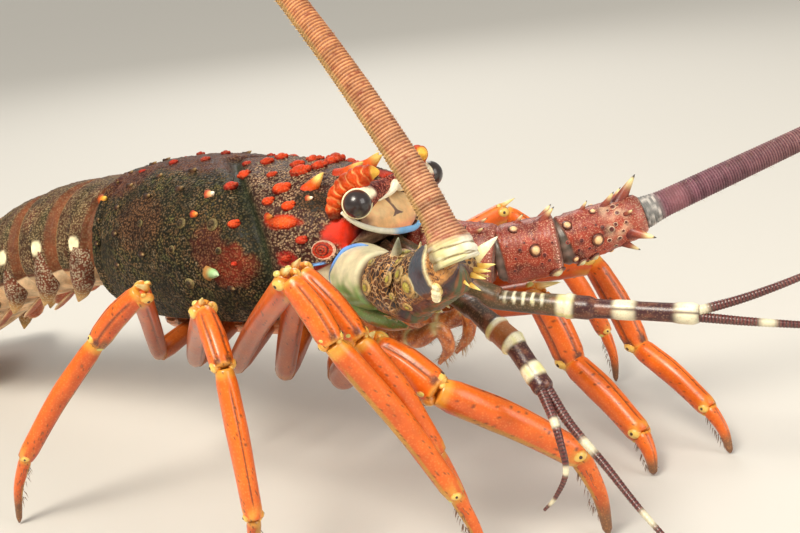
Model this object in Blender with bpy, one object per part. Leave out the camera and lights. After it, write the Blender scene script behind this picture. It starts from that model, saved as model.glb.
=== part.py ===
"""A life-size spiny lobster standing on its ten walking legs, antennae raised.

The body is modelled along its own axis, head towards +X and its left side towards +Y, then tipped
head-up by BODY_PITCH and lifted to BODY_HEIGHT. Legs, feelers and tail fan are laid out in the
standing frame, whose floor is Z = 0. At the end everything is moved so that the origin is the
middle of the floor under the whole animal.
"""

import math
import random

import bmesh
import bpy
from mathutils import Matrix, Vector

MM = 0.001

# Driving dimensions
GAP = 0.3 * MM
BODY_HEIGHT = 78 * MM
BODY_PITCH = math.radians(3)
CARAPACE_REAR = -64 * MM
CARAPACE_FRONT = 49 * MM
MARGIN_HEIGHT = -19 * MM
STERNUM_DEPTH = 11 * MM
BELLY_DEPTH = 30 * MM
GROOVE_DEPTH = 0.085
GROOVE_WIDTH = 3.6 * MM
EYE_RADIUS = 4.6 * MM
EYE_CENTRE = Vector((53 * MM, 20.2 * MM, 19 * MM))
FOOT_RADIUS = 1.5 * MM
SHELL_SIDES = 28
LEG_SIDES = 8

# Carapace half width and dorsal height along its length, from the rear edge to the front margin
HALF_WIDTH = ((-64, 27), (-50, 32), (-30, 35), (-8, 35.5), (14, 33.5), (32, 30), (43, 26.5), (49, 23.5))
DORSAL_HEIGHT = ((-64, 27), (-50, 30), (-30, 31.5), (-8, 30.5), (14, 28.5), (30, 27), (42, 24.5), (49, 21.5))
# Lower front margin of the carapace in side view, below which the epistome shows
FRONT_MARGIN = ((15, -25), (17, -18.7), (28, 0), (43, 1.5), (48.5, 6.5), (60, 6.5), (60, -40), (15, -40))

SIDES = {"R": -1, "L": 1}

BODY = Matrix.Translation((0, 0, BODY_HEIGHT)) @ Matrix.Rotation(-BODY_PITCH, 4, "Y")


def between(table, x):
    """Value at x of a smooth curve through a short table of millimetre pairs."""
    x = min(max(x / MM, table[0][0]), table[-1][0])
    i = max(k for k in range(len(table) - 1) if table[k][0] <= x)
    (x0, y0), (x1, y1) = table[i], table[i + 1]
    before = table[i - 1] if i else table[i]
    after = table[i + 2] if i + 2 < len(table) else table[i + 1]
    slope0 = (y1 - before[1]) / (x1 - before[0])
    slope1 = (after[1] - y0) / (after[0] - x0)
    t = (x - x0) / (x1 - x0)
    span = x1 - x0
    h = (2 * t**3 - 3 * t**2 + 1, t**3 - 2 * t**2 + t, -2 * t**3 + 3 * t**2, t**3 - t**2)
    return (h[0] * y0 + h[1] * span * slope0 + h[2] * y1 + h[3] * span * slope1) * MM


def clear_scene():
    """Starts from an empty scene."""
    for obj in list(bpy.data.objects):
        bpy.data.objects.remove(obj)


def material(name, colour, roughness):
    """A plain shell material."""
    made = bpy.data.materials.new(name)
    made.use_nodes = True
    shader = made.node_tree.nodes["Principled BSDF"]
    shader.inputs["Base Color"].default_value = (*colour, 1)
    shader.inputs["Roughness"].default_value = roughness
    shader.inputs["Metallic"].default_value = 0
    return made


def add_object(name, bm, finish=None):
    """Turns a bmesh into an object with outward faces, shaded smooth."""
    bmesh.ops.recalc_face_normals(bm, faces=bm.faces)
    mesh = bpy.data.meshes.new(name)
    bm.to_mesh(mesh)
    bm.free()
    mesh.shade_smooth()
    obj = bpy.data.objects.new(name, mesh)
    bpy.context.scene.collection.objects.link(obj)
    if finish:
        mesh.materials.append(finish)
    return obj


def loft(name, rings, finish=None):
    """A closed solid whose first ring is a flat face extruded through all the others."""
    bm = bmesh.new()
    count = len(rings[0])
    first = bmesh.ops.create_circle(bm, cap_ends=True, segments=count, radius=1)["verts"]
    for vert, place in zip(first, rings[0]):
        vert.co = place
    loop = list(first)
    cap = bm.faces[:][0]
    for i, ring in enumerate(rings[1:]):
        made = bmesh.ops.extrude_face_region(bm, geom=[cap])["geom"]
        if i:
            bmesh.ops.delete(bm, geom=[cap], context="FACES_ONLY")
        cap = next(piece for piece in made if isinstance(piece, bmesh.types.BMFace))
        fresh = [piece for piece in made if isinstance(piece, bmesh.types.BMVert)]
        loop = [min(fresh, key=lambda vert, old=old: (vert.co - old.co).length) for old in loop]
        for vert, place in zip(loop, ring):
            vert.co = place
    return add_object(name, bm, finish)


def frames_along(path, up):
    """For each point of a path: the direction in, the plane normal, and a right and up vector."""
    steps = [(b - a).normalized() for a, b in zip(path, path[1:])]
    found = []
    side = steps[0].cross(up).normalized()
    for i in range(len(path)):
        into = steps[max(i - 1, 0)]
        out = steps[min(i, len(steps) - 1)]
        normal = (into + out).normalized()
        side = (side - into * side.dot(into)).normalized()
        found.append((into, normal, side, side.cross(into).normalized()))
    return found


def tube_rings(path, radii, sides, up=Vector((0, 0, 1)), flat=1.0, start_normal=None, end_normal=None):
    """Mitred rings round a path. flat is the ratio of side radius to up radius."""
    frames = frames_along(path, up)
    rings = []
    for i, (centre, radius) in enumerate(zip(path, radii)):
        into, normal, side, over = frames[i]
        if i == 0 and start_normal:
            normal = start_normal
        if i == len(path) - 1 and end_normal:
            normal = end_normal
        ring = []
        for k in range(sides):
            angle = math.tau * k / sides
            spoke = (side * (math.cos(angle) * flat) + over * math.sin(angle)) * radius
            slide = -spoke.dot(normal) / into.dot(normal)
            ring.append(centre + spoke + into * slide)
        rings.append(ring)
    return rings


def tube(name, path, radii, sides, finish=None, **options):
    """A closed solid round a path."""
    return loft(name, tube_rings(path, radii, sides, **options), finish)


def spike(base, direction, height, width, sides=5):
    """A closed cone standing on base, its root sunk a third of its height."""
    bm = bmesh.new()
    depth = height * 1.35
    bmesh.ops.create_cone(bm, cap_ends=True, segments=sides, radius1=width, radius2=0, depth=depth)
    turn = direction.to_track_quat("Z", "Y").to_matrix().to_4x4()
    middle = base + direction * (height - depth / 2)
    bmesh.ops.transform(bm, matrix=Matrix.Translation(middle) @ turn, verts=bm.verts)
    return add_object("spike", bm)


def ball(name, centre, radius, stretch=(1, 1, 1), detail=2, finish=None):
    """A rounded body."""
    bm = bmesh.new()
    bmesh.ops.create_icosphere(bm, subdivisions=detail, radius=radius)
    place = Matrix.Translation(centre) @ Matrix.Diagonal((*stretch, 1))
    bmesh.ops.transform(bm, matrix=place, verts=bm.verts)
    return add_object(name, bm, finish)


def keep_largest(obj):
    """Drops every closed surface of a mesh but its largest."""
    bm = bmesh.new()
    bm.from_mesh(obj.data)
    left = set(bm.faces)
    bodies = []
    while left:
        stack = [left.pop()]
        body = set(stack)
        while stack:
            face = stack.pop()
            for edge in face.edges:
                for other in edge.link_faces:
                    if other in left:
                        left.discard(other)
                        body.add(other)
                        stack.append(other)
        bodies.append(body)
    bodies.sort(key=lambda body: sum(face.calc_area() for face in body))
    for body in bodies[:-1]:
        bmesh.ops.delete(bm, geom=list(body), context="FACES")
    bm.to_mesh(obj.data)
    bm.free()


def apply_boolean(obj, operation, others, solver="MANIFOLD"):
    """Joins or cuts obj with other objects, which are then removed."""
    group = bpy.data.collections.new("operands")
    bpy.context.scene.collection.children.link(group)
    for other in others:
        bpy.context.scene.collection.objects.unlink(other)
        group.objects.link(other)
    modifier = obj.modifiers.new("Boolean", "BOOLEAN")
    modifier.operation = operation
    modifier.operand_type = "COLLECTION"
    modifier.collection = group
    modifier.solver = solver
    graph = bpy.context.evaluated_depsgraph_get()
    graph.update()
    result = bpy.data.meshes.new_from_object(obj.evaluated_get(graph))
    obj.modifiers.remove(modifier)
    obj.data = result
    for other in others:
        bpy.data.objects.remove(other)
    bpy.data.collections.remove(group)


def fuse(obj, pieces):
    """Joins pieces to obj, so that the node is one closed body."""
    if pieces:
        apply_boolean(obj, "UNION", pieces)
        keep_largest(obj)
    obj.data.shade_smooth()
    return obj


def cut(obj, cutters):
    """Takes cutters out of obj and keeps its largest body."""
    apply_boolean(obj, "DIFFERENCE", cutters)
    keep_largest(obj)
    obj.data.shade_smooth()
    return obj


def slab(centre, normal):
    """A large cutter that takes away all beyond a plane."""
    bm = bmesh.new()
    size = 200 * MM
    bmesh.ops.create_cube(bm, size=size)
    turn = normal.to_track_quat("X", "Z").to_matrix().to_4x4()
    bmesh.ops.transform(bm, matrix=Matrix.Translation(centre + normal * size / 2) @ turn, verts=bm.verts)
    return add_object("slab", bm)


def heading(yaw, rise):
    """Unit vector from a turn to the left of +X and a rise above level, both in degrees."""
    a, e = math.radians(yaw), math.radians(rise)
    return Vector((math.cos(a) * math.cos(e), math.sin(a) * math.cos(e), math.sin(e)))


def groove_factor(x, angle):
    """How far the shell is drawn in by the cervical groove, which sweeps forward down each side."""
    centre = (-13 + 34 * math.sin(min(abs(angle), math.pi / 2))) * MM
    return 1 - GROOVE_DEPTH * math.exp(-(((x - centre) / GROOVE_WIDTH) ** 2))


def shell_point(x, angle, grow=0.0):
    """A point of the carapace in the body frame; angle runs from the top towards the left side."""
    half = between(HALF_WIDTH, x)
    top = between(DORSAL_HEIGHT, x)
    low = BELLY_DEPTH * half / (35 * MM)
    draw = groove_factor(x, angle)
    y = math.copysign(abs(math.sin(angle)) ** 0.92, angle) * (half * draw + grow)
    z = math.cos(angle) * ((top if math.cos(angle) > 0 else low) * draw + grow)
    return Vector((x, y, z))


def margin_angle(x):
    """The angle at which the side of the carapace reaches its lower margin."""
    low = BELLY_DEPTH * between(HALF_WIDTH, x) / (35 * MM)
    return math.acos(max(-1.0, min(1.0, MARGIN_HEIGHT / low)))


def shell_normal(x, angle):
    """Outward direction of the carapace."""
    step = 0.5 * MM
    along = shell_point(min(x + step, CARAPACE_FRONT), angle) - shell_point(x - step, angle)
    turn = 0.02
    around = shell_point(x, angle + turn) - shell_point(x, angle - turn)
    return around.cross(along).normalized() * -1


def shell_ring(x, grow=0.0, sides=SHELL_SIDES):
    """One closed outline of the carapace, from its left margin over the back to its right margin."""
    end = margin_angle(x)
    low = MARGIN_HEIGHT - grow
    ring = []
    for k in range(sides):
        point = shell_point(x, end - 2 * end * k / (sides - 1), grow)
        point.z = max(point.z, low)
        ring.append(point)
    return ring


def shell_stations():
    """Ring places along the carapace, closer together at the groove."""
    rear = [CARAPACE_REAR + step * MM for step in (0, 2.5, 7, 16, 27, 38, 45)]
    groove = [(-16 + 3.6 * k) * MM for k in range(12)]
    front = [x * MM for x in (28, 34, 40, 45, 49)]
    return rear + groove + front


def place_in_body(obj):
    """Moves a mesh from the body frame to the standing frame."""
    obj.data.transform(BODY)
    return obj


def margin_prism(grow=0.0):
    """The space below and in front of the lower front margin, in the body frame."""
    outline = [Vector((x * MM + grow, 0, z * MM - grow * 1.3)) for x, z in FRONT_MARGIN]
    rings = [[point + Vector((0, side * 60 * MM, 0)) for point in outline] for side in (-1, 1)]
    return loft("prism", rings)


def shell_loft(name, grow=0.0, finish=None):
    """The rounded form of the carapace, in the body frame."""
    rings = []
    stations = shell_stations()
    for i, x in enumerate(stations):
        ring = shell_ring(x, grow)
        shift = -grow if i == 0 else grow if i == len(stations) - 1 else 0
        rings.append([point + Vector((shift, 0, 0)) for point in ring])
    return loft(name, rings, finish)


def carapace_core(name, grow=0.0, finish=None):
    """The carapace without its spines, cut away along its lower front margin."""
    return cut(shell_loft(name, grow, finish), [margin_prism(grow)])


# Spines on each side of the carapace: place along the back, angle from the top, height
SPINES = (
    (-61, 9, 2.0), (-61, 24, 2.0), (-62, 41, 3.6), (-61, 58, 2.0), (-60, 76, 2.0),
    (-50, 5, 2.6), (-48, 18, 2.4), (-47, 33, 2.8), (-48, 50, 2.4), (-46, 68, 2.6), (-45, 88, 2.2),
    (-36, 10, 2.8), (-34, 26, 2.6), (-33, 43, 2.8), (-32, 61, 2.4), (-30, 80, 2.6), (-29, 99, 2.0),
    (-22, 7, 3.0), (-20, 21, 2.8), (-19, 37, 3.0), (-12, 60, 3.4), (-15, 76, 2.4), (-9, 97, 3.4),
    (-7, 54, 2.8), (-4, 40, 3.6), (1.4, 60, 3.8), (1.6, 90, 5.0), (9.8, 59, 3.8), (5, 76, 2.8),
    (2.2, 20, 4.0), (1, 32, 4.2), (-2, 9, 3.0), (4.8, 5, 4.0), (11, 84, 3.0), (8, 100, 2.6),
    (15, 18, 4.2), (18, 7, 4.0), (23.4, 15, 5.0), (22.4, 33, 4.8), (21, 43, 3.6), (26, 5, 4.2),
    (27.8, 46, 4.0), (25.5, 57, 4.6), (31, 57, 4.8), (35, 69, 3.4), (30, 81, 3.0), (42, 76, 3.2),
    (36, 45, 3.0),
)


def carapace_spines():
    """Forward-leaning spines on both sides of the midline."""
    pieces = []
    for place, angle, height in SPINES:
        for side in SIDES.values():
            x = place * MM
            turn = math.radians(side * angle)
            lean = (shell_normal(x, turn) + Vector((0.75, 0, 0))).normalized()
            pieces.append(spike(shell_point(x, turn), lean, height * MM, height * 0.56 * MM))
    return pieces


# The large spines of the head on one side: place, direction, height, width
HEAD_SPINES = (
    ((28, 14, 23.2), (0.92, 0.03, 0.33), 10.5, 3.6),
    ((38, 4.2, 25.2), (0.90, 0.05, 0.40), 10.0, 3.0),
    ((42, 25, 8), (0.80, 0.55, 0.20), 4.0, 2.0),
)


def head_spines(side):
    """The strong spines behind and beside one eye."""
    pieces = []
    for place, way, height, width in HEAD_SPINES:
        base = Vector((place[0], place[1] * side, place[2])) * MM
        direction = Vector((way[0], way[1] * side, way[2])).normalized()
        pieces.append(spike(base, direction, height * MM, width * MM, 6))
    return pieces


def brow_horn(side):
    """The thick ridge that arches behind and over one eye and ends in a short horn."""
    places = ((40, 24.5, 7), (41.5, 24, 15), (45, 20, 22), (50, 15.5, 25), (56.5, 13, 28.4))
    path = [Vector((x, y * side, z)) * MM for x, y, z in places]
    return tube("horn", path, [r * MM for r in (2.4, 4.2, 5.2, 4.4, 0.9)], 10)


def carapace(finish):
    """The shield over head and thorax with its horns, spines and eye sockets."""
    obj = carapace_core("carapace", finish=finish)
    pieces = carapace_spines()
    for side in SIDES.values():
        pieces.append(brow_horn(side))
        pieces += head_spines(side)
    fuse(obj, pieces)
    sockets = [eye_body("socket", side, EYE_RADIUS + GAP) for side in SIDES.values()]
    sockets += [stalk_body("stalk_seat", side, GAP) for side in SIDES.values()]
    cut(obj, sockets)
    return place_in_body(obj)


def eye_body(name, side, radius, finish=None):
    """One eye as a slightly flattened ball, in the body frame."""
    centre = Vector((EYE_CENTRE.x, EYE_CENTRE.y * side, EYE_CENTRE.z))
    return ball(name, centre, radius, stretch=(1, 0.94, 0.96), detail=3, finish=finish)


def stalk_body(name, side, grow=0.0, finish=None):
    """One eye stalk from the middle of the brow to its eye, in the body frame."""
    start = Vector((50.5 * MM, 2.6 * MM * side, 20.3 * MM))
    centre = Vector((EYE_CENTRE.x, EYE_CENTRE.y * side, EYE_CENTRE.z))
    reach = centre - start
    path = [start - reach.normalized() * grow, start + reach * 0.5, centre]
    return tube(name, path, [2.6 * MM + grow, 2.9 * MM + grow, 4.3 * MM + grow], 10, finish)


def eyes(shell, dark):
    """Both eyes and their stalks."""
    for label, side in SIDES.items():
        place_in_body(eye_body("eye_" + label, side, EYE_RADIUS, dark))
        stalk = stalk_body("eyestalk_" + label, side, finish=shell)
        cut(stalk, [eye_body("eye_seat", side, EYE_RADIUS + GAP)])
        place_in_body(stalk)


def outline_loft(name, sections, finish=None):
    """A loft through rounded-box outlines: place along X, half width, low and high side, corner power."""
    rings = []
    for x, half, low, high, power in sections:
        ring = []
        for k in range(14):
            angle = math.tau * k / 14
            c, s = math.cos(angle), math.sin(angle)
            y = math.copysign(abs(c) ** power, c) * half
            z = (low + high) / 2 + math.copysign(abs(s) ** power, s) * (high - low) / 2
            ring.append(Vector((x, y, z)) * MM)
        rings.append(ring)
    return loft(name, rings, finish)


def face_plate(finish):
    """The plate between the eyes, above the antennules."""
    sections = ((49.3, 11.6, 5.0, 17.6, 0.6), (51.6, 11.4, 5.0, 17.0, 0.6), (53.4, 9.6, 5.6, 15.2, 0.6))
    obj = outline_loft("face_plate", sections, finish)
    cutters = [eye_body("seat", side, EYE_RADIUS + GAP) for side in SIDES.values()]
    cutters += [stalk_body("stalk_seat", side, GAP) for side in SIDES.values()]
    cut(obj, cutters)
    return place_in_body(obj)


def epistome_body(name, grow=0.0, finish=None):
    """The smooth front under the carapace margin, with a slanting seat for each antenna."""
    obj = shell_loft(name, grow - 1.8 * MM, finish)
    apply_boolean(obj, "INTERSECT", [margin_prism(-grow)])
    cutters = []
    for side in SIDES.values():
        normal = heading(side * ANTENNA_SEAT_YAW, 0)
        centre = Vector((ANTENNA_ROOT.x, ANTENNA_ROOT.y * side, ANTENNA_ROOT.z))
        cutters.append(slab(centre + normal * grow, normal))
    return cut(obj, cutters)


def epistome(finish):
    """The smooth cream front under the carapace margin."""
    return place_in_body(epistome_body("epistome", finish=finish))


def sternum_core(name, grow=0.0, finish=None):
    """The breastplate under the thorax, narrow in front, in the body frame."""
    high = MARGIN_HEIGHT - GAP + grow
    low = MARGIN_HEIGHT - STERNUM_DEPTH - grow
    stations = ((-46, 16), (-40, 20), (-24, 20.5), (-6, 18.5), (10, 15.5), (24, 12.5), (38, 10.5), (46, 8))
    rings = []
    for i, (x, half) in enumerate(stations):
        shift = -grow if i == 0 else grow if i == len(stations) - 1 else 0
        wide = half * MM + grow
        soft = wide * 0.72
        edge = high - 5 * MM
        outline = ((wide, high), (wide, edge), (soft, low), (-soft, low), (-wide, edge), (-wide, high))
        rings.append([Vector((x * MM + shift, y, z)) for y, z in outline])
    return loft(name, rings, finish)


def sternum(finish):
    """The breastplate, against the underside of the carapace."""
    return place_in_body(sternum_core("sternum", finish=finish))


def body_hosts():
    """Carapace, breastplate and epistome grown by the gap, to seat a limb against."""
    hosts = [carapace_core("host", GAP), sternum_core("host", GAP), epistome_body("host", GAP)]
    return [place_in_body(host) for host in hosts]


# Walking legs in the standing frame, in millimetres: hip, knee, wrist, ankle and foot, then thickness.
# The right side faces the viewer. Roots sit on the breastplate at LEG_ROOTS.
LEG_ROOTS = ((33, 9), (18, 11.5), (3, 14), (-12, 15.5), (-27, 16))
LEG_PLACES = {
    "R1": ((43, -27, 45), (70, -42, 63), (89.8, -42, 52.8), (119, -16, 27), (125, -12, 0), 5.4),
    "R2": ((26, -34, 47), (61, -60, 90.3), (78, -60, 73), (91.5, -48, 37), (96, -38, 0), 4.0),
    "R3": ((8, -37, 48), (67, -72, 92.5), (79, -72, 76.4), (99.3, -52, 27.4), (104, -47, 0), 3.8),
    "R4": ((-10, -37, 48), (31.6, -70, 79.6), (44.1, -78, 66.9), (53, -84, 26), (49, -82, 0), 3.8),
    "R5": ((-27, -37, 48), (-2.9, -62, 79.5), (-21, -67, 63), (-48, -82, 25), (-56, -84, 0), 3.6),
    "L1": ((40, 28, 45), (77, 42, 52.6), (88.3, 42, 30.3), (117, 32, 12.5), (122, 29, 0), 5.4),
    "L2": ((24, 33, 47), (87, 64, 60), (103, 64, 30), (131, 56, 14), (139, 53, 0), 4.5),
    "L3": ((4, 36, 48), (44, 80, 71), (60, 90, 52), (74, 98, 20), (78, 97, 0), 3.9),
    "L4": ((-10, 37, 48), (-6, 82, 76), (-10, 98, 60), (-16, 110, 22), (-20, 104, 0), 3.8),
    "L5": ((-27, 37, 48), (-42, 72, 76), (-58, 84, 60), (-78, 96, 22), (-86, 93, 0), 3.6),
}

# Thickness along each length of leg, as shares of its length and of the leg's radius
THIGH_FORM = ((0.0, 1.06), (0.5, 1.0))
MERUS_FORM = ((0.06, 1.02), (0.45, 1.04), (0.85, 0.97), (0.95, 1.1))
CARPUS_FORM = ((0.12, 1.05), (0.45, 1.08), (0.85, 1.02))
PROPODUS_FORM = ((0.08, 0.94), (0.4, 0.95), (0.75, 0.84), (0.93, 0.82))
DACTYL_FORM = ((0.14, 0.62), (0.5, 0.46), (0.82, 0.34))


def joint_room(a, joint, b, radius):
    """The length of tube that the mitre at a joint needs on each side."""
    half_bend = (joint - a).angle(b - joint) / 2
    return 1.12 * radius * math.tan(half_bend) + 0.5 * MM


def length_rings(a, b, form, radius, start_room, end_room):
    """Points and radii along one straight length, kept clear of the mitres at its ends."""
    span = (b - a).length
    found = []
    for share, size in form:
        share = min(max(share, start_room / span), 1 - end_room / span)
        if not found or share - found[-1][0] > 0.03:
            found.append((share, radius * size))
    return [(a.lerp(b, share), size) for share, size in found]


def leg(label, finish):
    """One walking leg in two nodes, which meet at the knee."""
    side = SIDES[label[0]]
    x, y = LEG_ROOTS[int(label[1]) - 1]
    root = BODY @ (Vector((x, y * side, (MARGIN_HEIGHT - 4.5 * MM) / MM)) * MM)
    *places, thick = LEG_PLACES[label]
    hip, knee, wrist, ankle, foot = [Vector(place) * MM for place in places]
    radius = thick * MM
    bend = ((knee - hip).normalized() + (wrist - knee).normalized()).normalized()
    hip_room = joint_room(root, hip, knee, radius)
    knee_room = joint_room(hip, knee, wrist, radius)
    wrist_room = joint_room(knee, wrist, ankle, radius)
    ankle_room = joint_room(wrist, ankle, foot, radius * 0.8)
    upper = length_rings(root, hip, THIGH_FORM, radius, 0, hip_room)
    upper.append((hip, radius))
    upper += length_rings(hip, knee, MERUS_FORM, radius, hip_room, knee_room)
    upper.append((knee - bend * GAP / 2, radius * 0.82))
    path, radii = zip(*upper)
    obj = tube(f"leg_{label}_thigh", path, radii, LEG_SIDES, finish, flat=0.86, end_normal=bend)
    cut(obj, body_hosts())
    lower = [(knee + bend * GAP / 2, radius * 0.82)]
    lower += length_rings(knee, wrist, CARPUS_FORM, radius, knee_room, wrist_room)
    lower.append((wrist, radius * 0.86))
    lower += length_rings(wrist, ankle, PROPODUS_FORM, radius, wrist_room, ankle_room)
    lower.append((ankle, radius * 0.66))
    lower += length_rings(ankle, foot, DACTYL_FORM, radius, ankle_room, 0)
    lower.append((foot, FOOT_RADIUS))
    path, radii = zip(*lower)
    down = Vector((0, 0, -1))
    tube(f"leg_{label}_shin", path, radii, LEG_SIDES, finish, flat=0.86, start_normal=bend, end_normal=down)


# Antennae: yaw and rise of each peduncle segment with its length and end radii, in millimetres
ANTENNA_ROOT = Vector((45.5, 16, -5)) * MM
ANTENNA_SEAT_YAW = 33
PEDUNCLES = {
    "R": ((-36, 10, 28.6, 10.7, 10.0), (-28, 8, 19.5, 10.3, 9.6), (-26.5, 26, 26.5, 9.4, 7.0)),
    "L": ((22.6, -8.8, 27.6, 10.7, 10.0), (32, 7, 20.7, 10.3, 9.6), (36, 14.3, 28.7, 9.4, 6.6)),
}
FLAGELLUM_LENGTH = 370 * MM
FLAGELLUM_ROOT_RADIUS = 4.4 * MM
FLAGELLUM_TIP_RADIUS = 0.5 * MM
# Share of the length, yaw and rise along each whip, in degrees
FLAGELLA = {
    "R": ((0, 163, 60), (0.08, 176, 54.5), (0.32, 172.5, 43), (1, 177, 31.5)),
    "L": ((0, 45, 17), (0.3, 47, 17), (1, 38, 4)),
}
FLAGELLUM_PARTS = 3
# Spines of each peduncle segment: share of its length, angle from the outer side over the top, height
PEDUNCLE_SPINES = (
    ((0.72, 60, 5.0), (0.74, 120, 5.0), (0.7, 10, 4.5)),
    (
        (0.80, 60, 7.0), (0.80, 112, 6.5), (0.80, 165, 5.0), (0.80, 230, 4.5), (0.80, 320, 5.5),
        (0.40, 88, 5.0), (0.35, 142, 3.5), (0.40, 20, 3.5), (0.40, 290, 3.5),
    ),
    (
        (0.80, 92, 11.0), (0.74, 52, 7.0), (0.68, 132, 7.0), (0.85, 8, 7.5), (0.84, 182, 8.0),
        (0.85, 250, 7.0), (0.85, 312, 7.5), (0.36, 90, 5.0), (0.30, 42, 3.6), (0.36, 146, 3.6),
        (0.42, 350, 3.6), (0.42, 270, 3.2),
    ),
)


def peduncle_joints(label):
    """The joint points of one antenna's three stout segments, in the standing frame."""
    side = SIDES[label]
    points = [BODY @ Vector((ANTENNA_ROOT.x, ANTENNA_ROOT.y * side, ANTENNA_ROOT.z))]
    for yaw, rise, length, _, _ in PEDUNCLES[label]:
        points.append(points[-1] + heading(yaw, rise) * length * MM)
    return points


def flagellum_path(label, steps=42):
    """Points along the whip of one antenna."""
    table = FLAGELLA[label]
    points = [peduncle_joints(label)[-1]]
    for k in range(steps):
        t = k / (steps - 1)
        i = max(n for n in range(len(table) - 1) if table[n][0] <= t)
        (t0, yaw0, rise0), (t1, yaw1, rise1) = table[i], table[i + 1]
        share = (t - t0) / (t1 - t0)
        way = heading(yaw0, rise0).lerp(heading(yaw1, rise1), share).normalized()
        points.append(points[-1] + way * FLAGELLUM_LENGTH / steps)
    return points


def segment_spines(table, a, b, axis, following, r0, r1, side):
    """Forward-leaning spines of one peduncle segment, mirrored from one antenna to the other.

    A spine near the far end is left out where the next length folds back over it.
    """
    right = axis.cross(Vector((0, 0, 1))).normalized()
    over = right.cross(axis).normalized()
    outer = right * -side
    pieces = []
    for share, degrees, height in table:
        angle = math.radians(degrees)
        out = outer * math.cos(angle) + over * math.sin(angle)
        if share > 0.6 and out.dot(following) > 0.45:
            continue
        root = a.lerp(b, share) + out * (r0 + (r1 - r0) * share) * 0.93 * MM
        pieces.append(spike(root, (out + axis * 0.9).normalized(), height * MM, height * 0.4 * MM))
    return pieces


def antenna_peduncle(label, finish):
    """Three stout spiny segments; the first is seated against the epistome."""
    joints = peduncle_joints(label)
    steps = [(b - a).normalized() for a, b in zip(joints, joints[1:])]
    whip = flagellum_path(label)
    steps.append((whip[1] - whip[0]).normalized())
    planes = [steps[0]] + [(a + b).normalized() for a, b in zip(steps, steps[1:])]
    for i in range(3):
        _, _, _, r0, r1 = PEDUNCLES[label][i]
        a, b = joints[i], joints[i + 1]
        start = a - steps[0] * 9 * MM if i == 0 else a + planes[i] * GAP / 2
        end = b - planes[i + 1] * GAP / 2
        slope = (r1 - r0) / 2
        form = ((0.16, r0 - slope / 2), (0.5, (r0 + r1) / 2 * 1.03), (0.84, r1 * 1.05))
        start_room = 2 * MM if i == 0 else joint_room(joints[i - 1], a, b, r0 * MM)
        following = joints[i + 2] if i < 2 else whip[1]
        end_room = joint_room(a, b, following, r1 * MM)
        rings = [(start, r0 * 0.86 * MM)] + length_rings(start, end, form, MM, start_room, end_room)
        rings.append((end, r1 * 0.84 * MM))
        path, radii = zip(*rings)
        name = f"antenna_{label}_segment{i + 1}"
        ends = {"start_normal": planes[i], "end_normal": planes[i + 1]}
        obj = tube(name, path, radii, 14, finish, flat=0.95, **ends)
        pieces = segment_spines(PEDUNCLE_SPINES[i], a, b, steps[i], steps[i + 1], r0, r1, SIDES[label])
        fuse(obj, pieces)
        if i == 0:
            cut(obj, body_hosts())


def flagella(finish):
    """The long tapering whips, each in a few lengths."""
    for label in SIDES:
        path = flagellum_path(label)
        count = len(path) - 1
        radii = []
        for k in range(count + 1):
            left = (1 - k / count) ** 1.15
            radii.append(FLAGELLUM_TIP_RADIUS + (FLAGELLUM_ROOT_RADIUS - FLAGELLUM_TIP_RADIUS) * left)
        joints = peduncle_joints(label)
        last = (joints[3] - joints[2]).normalized()
        for part in range(FLAGELLUM_PARTS):
            i0 = count * part // FLAGELLUM_PARTS
            i1 = count * (part + 1) // FLAGELLUM_PARTS
            points = list(path[i0 : i1 + 1])
            before = last if i0 == 0 else (path[i0] - path[i0 - 1]).normalized()
            plane0 = (before + (path[i0 + 1] - path[i0]).normalized()).normalized()
            points[0] = points[0] + plane0 * GAP / 2
            plane1 = None
            if i1 < count:
                plane1 = (path[i1 + 1] - path[i1 - 1]).normalized()
                points[-1] = points[-1] - plane1 * GAP / 2
            name = f"antenna_{label}_whip{part + 1}"
            ends = {"start_normal": plane0, "end_normal": plane1}
            tube(name, points, radii[i0 : i1 + 1], 8, finish, up=Vector((0.3, 0.1, 1)), **ends)


# Antennules in the standing frame, in millimetres: stem joints, then the two branches. The stem starts
# on the epistome at ANTENNULE_ROOT in the body frame.
ANTENNULE_ROOT = Vector((47.5, 3.0, 1.2)) * MM
ANTENNULES = {
    "R": {
        "stem": ((67, -8.5, 73), (93, -24.1, 71.4), (108, -28.7, 64.1), (119.5, -34.1, 54.4)),
        "outer": ((126, -38, 47), (137, -42, 39), (149, -46, 31), (163, -50, 22), (175, -55, 15)),
        "inner": ((122, -38, 46), (124, -42, 38), (123, -44, 31), (119, -45, 26)),
    },
    "L": {
        "stem": ((62, 4.6, 73), (81.9, 8.5, 62.8), (111, 16, 60.5), (141.8, 22.6, 59.7)),
        "outer": ((154, 30, 64), (168, 40, 69), (182, 52, 75), (196, 66, 82)),
        "inner": ((156, 28, 57), (172, 36, 55), (188, 45, 54), (204, 55, 55)),
    },
}
ANTENNULE_RADII = (2.4, 2.6, 2.6, 2.4, 2.0)


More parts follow.
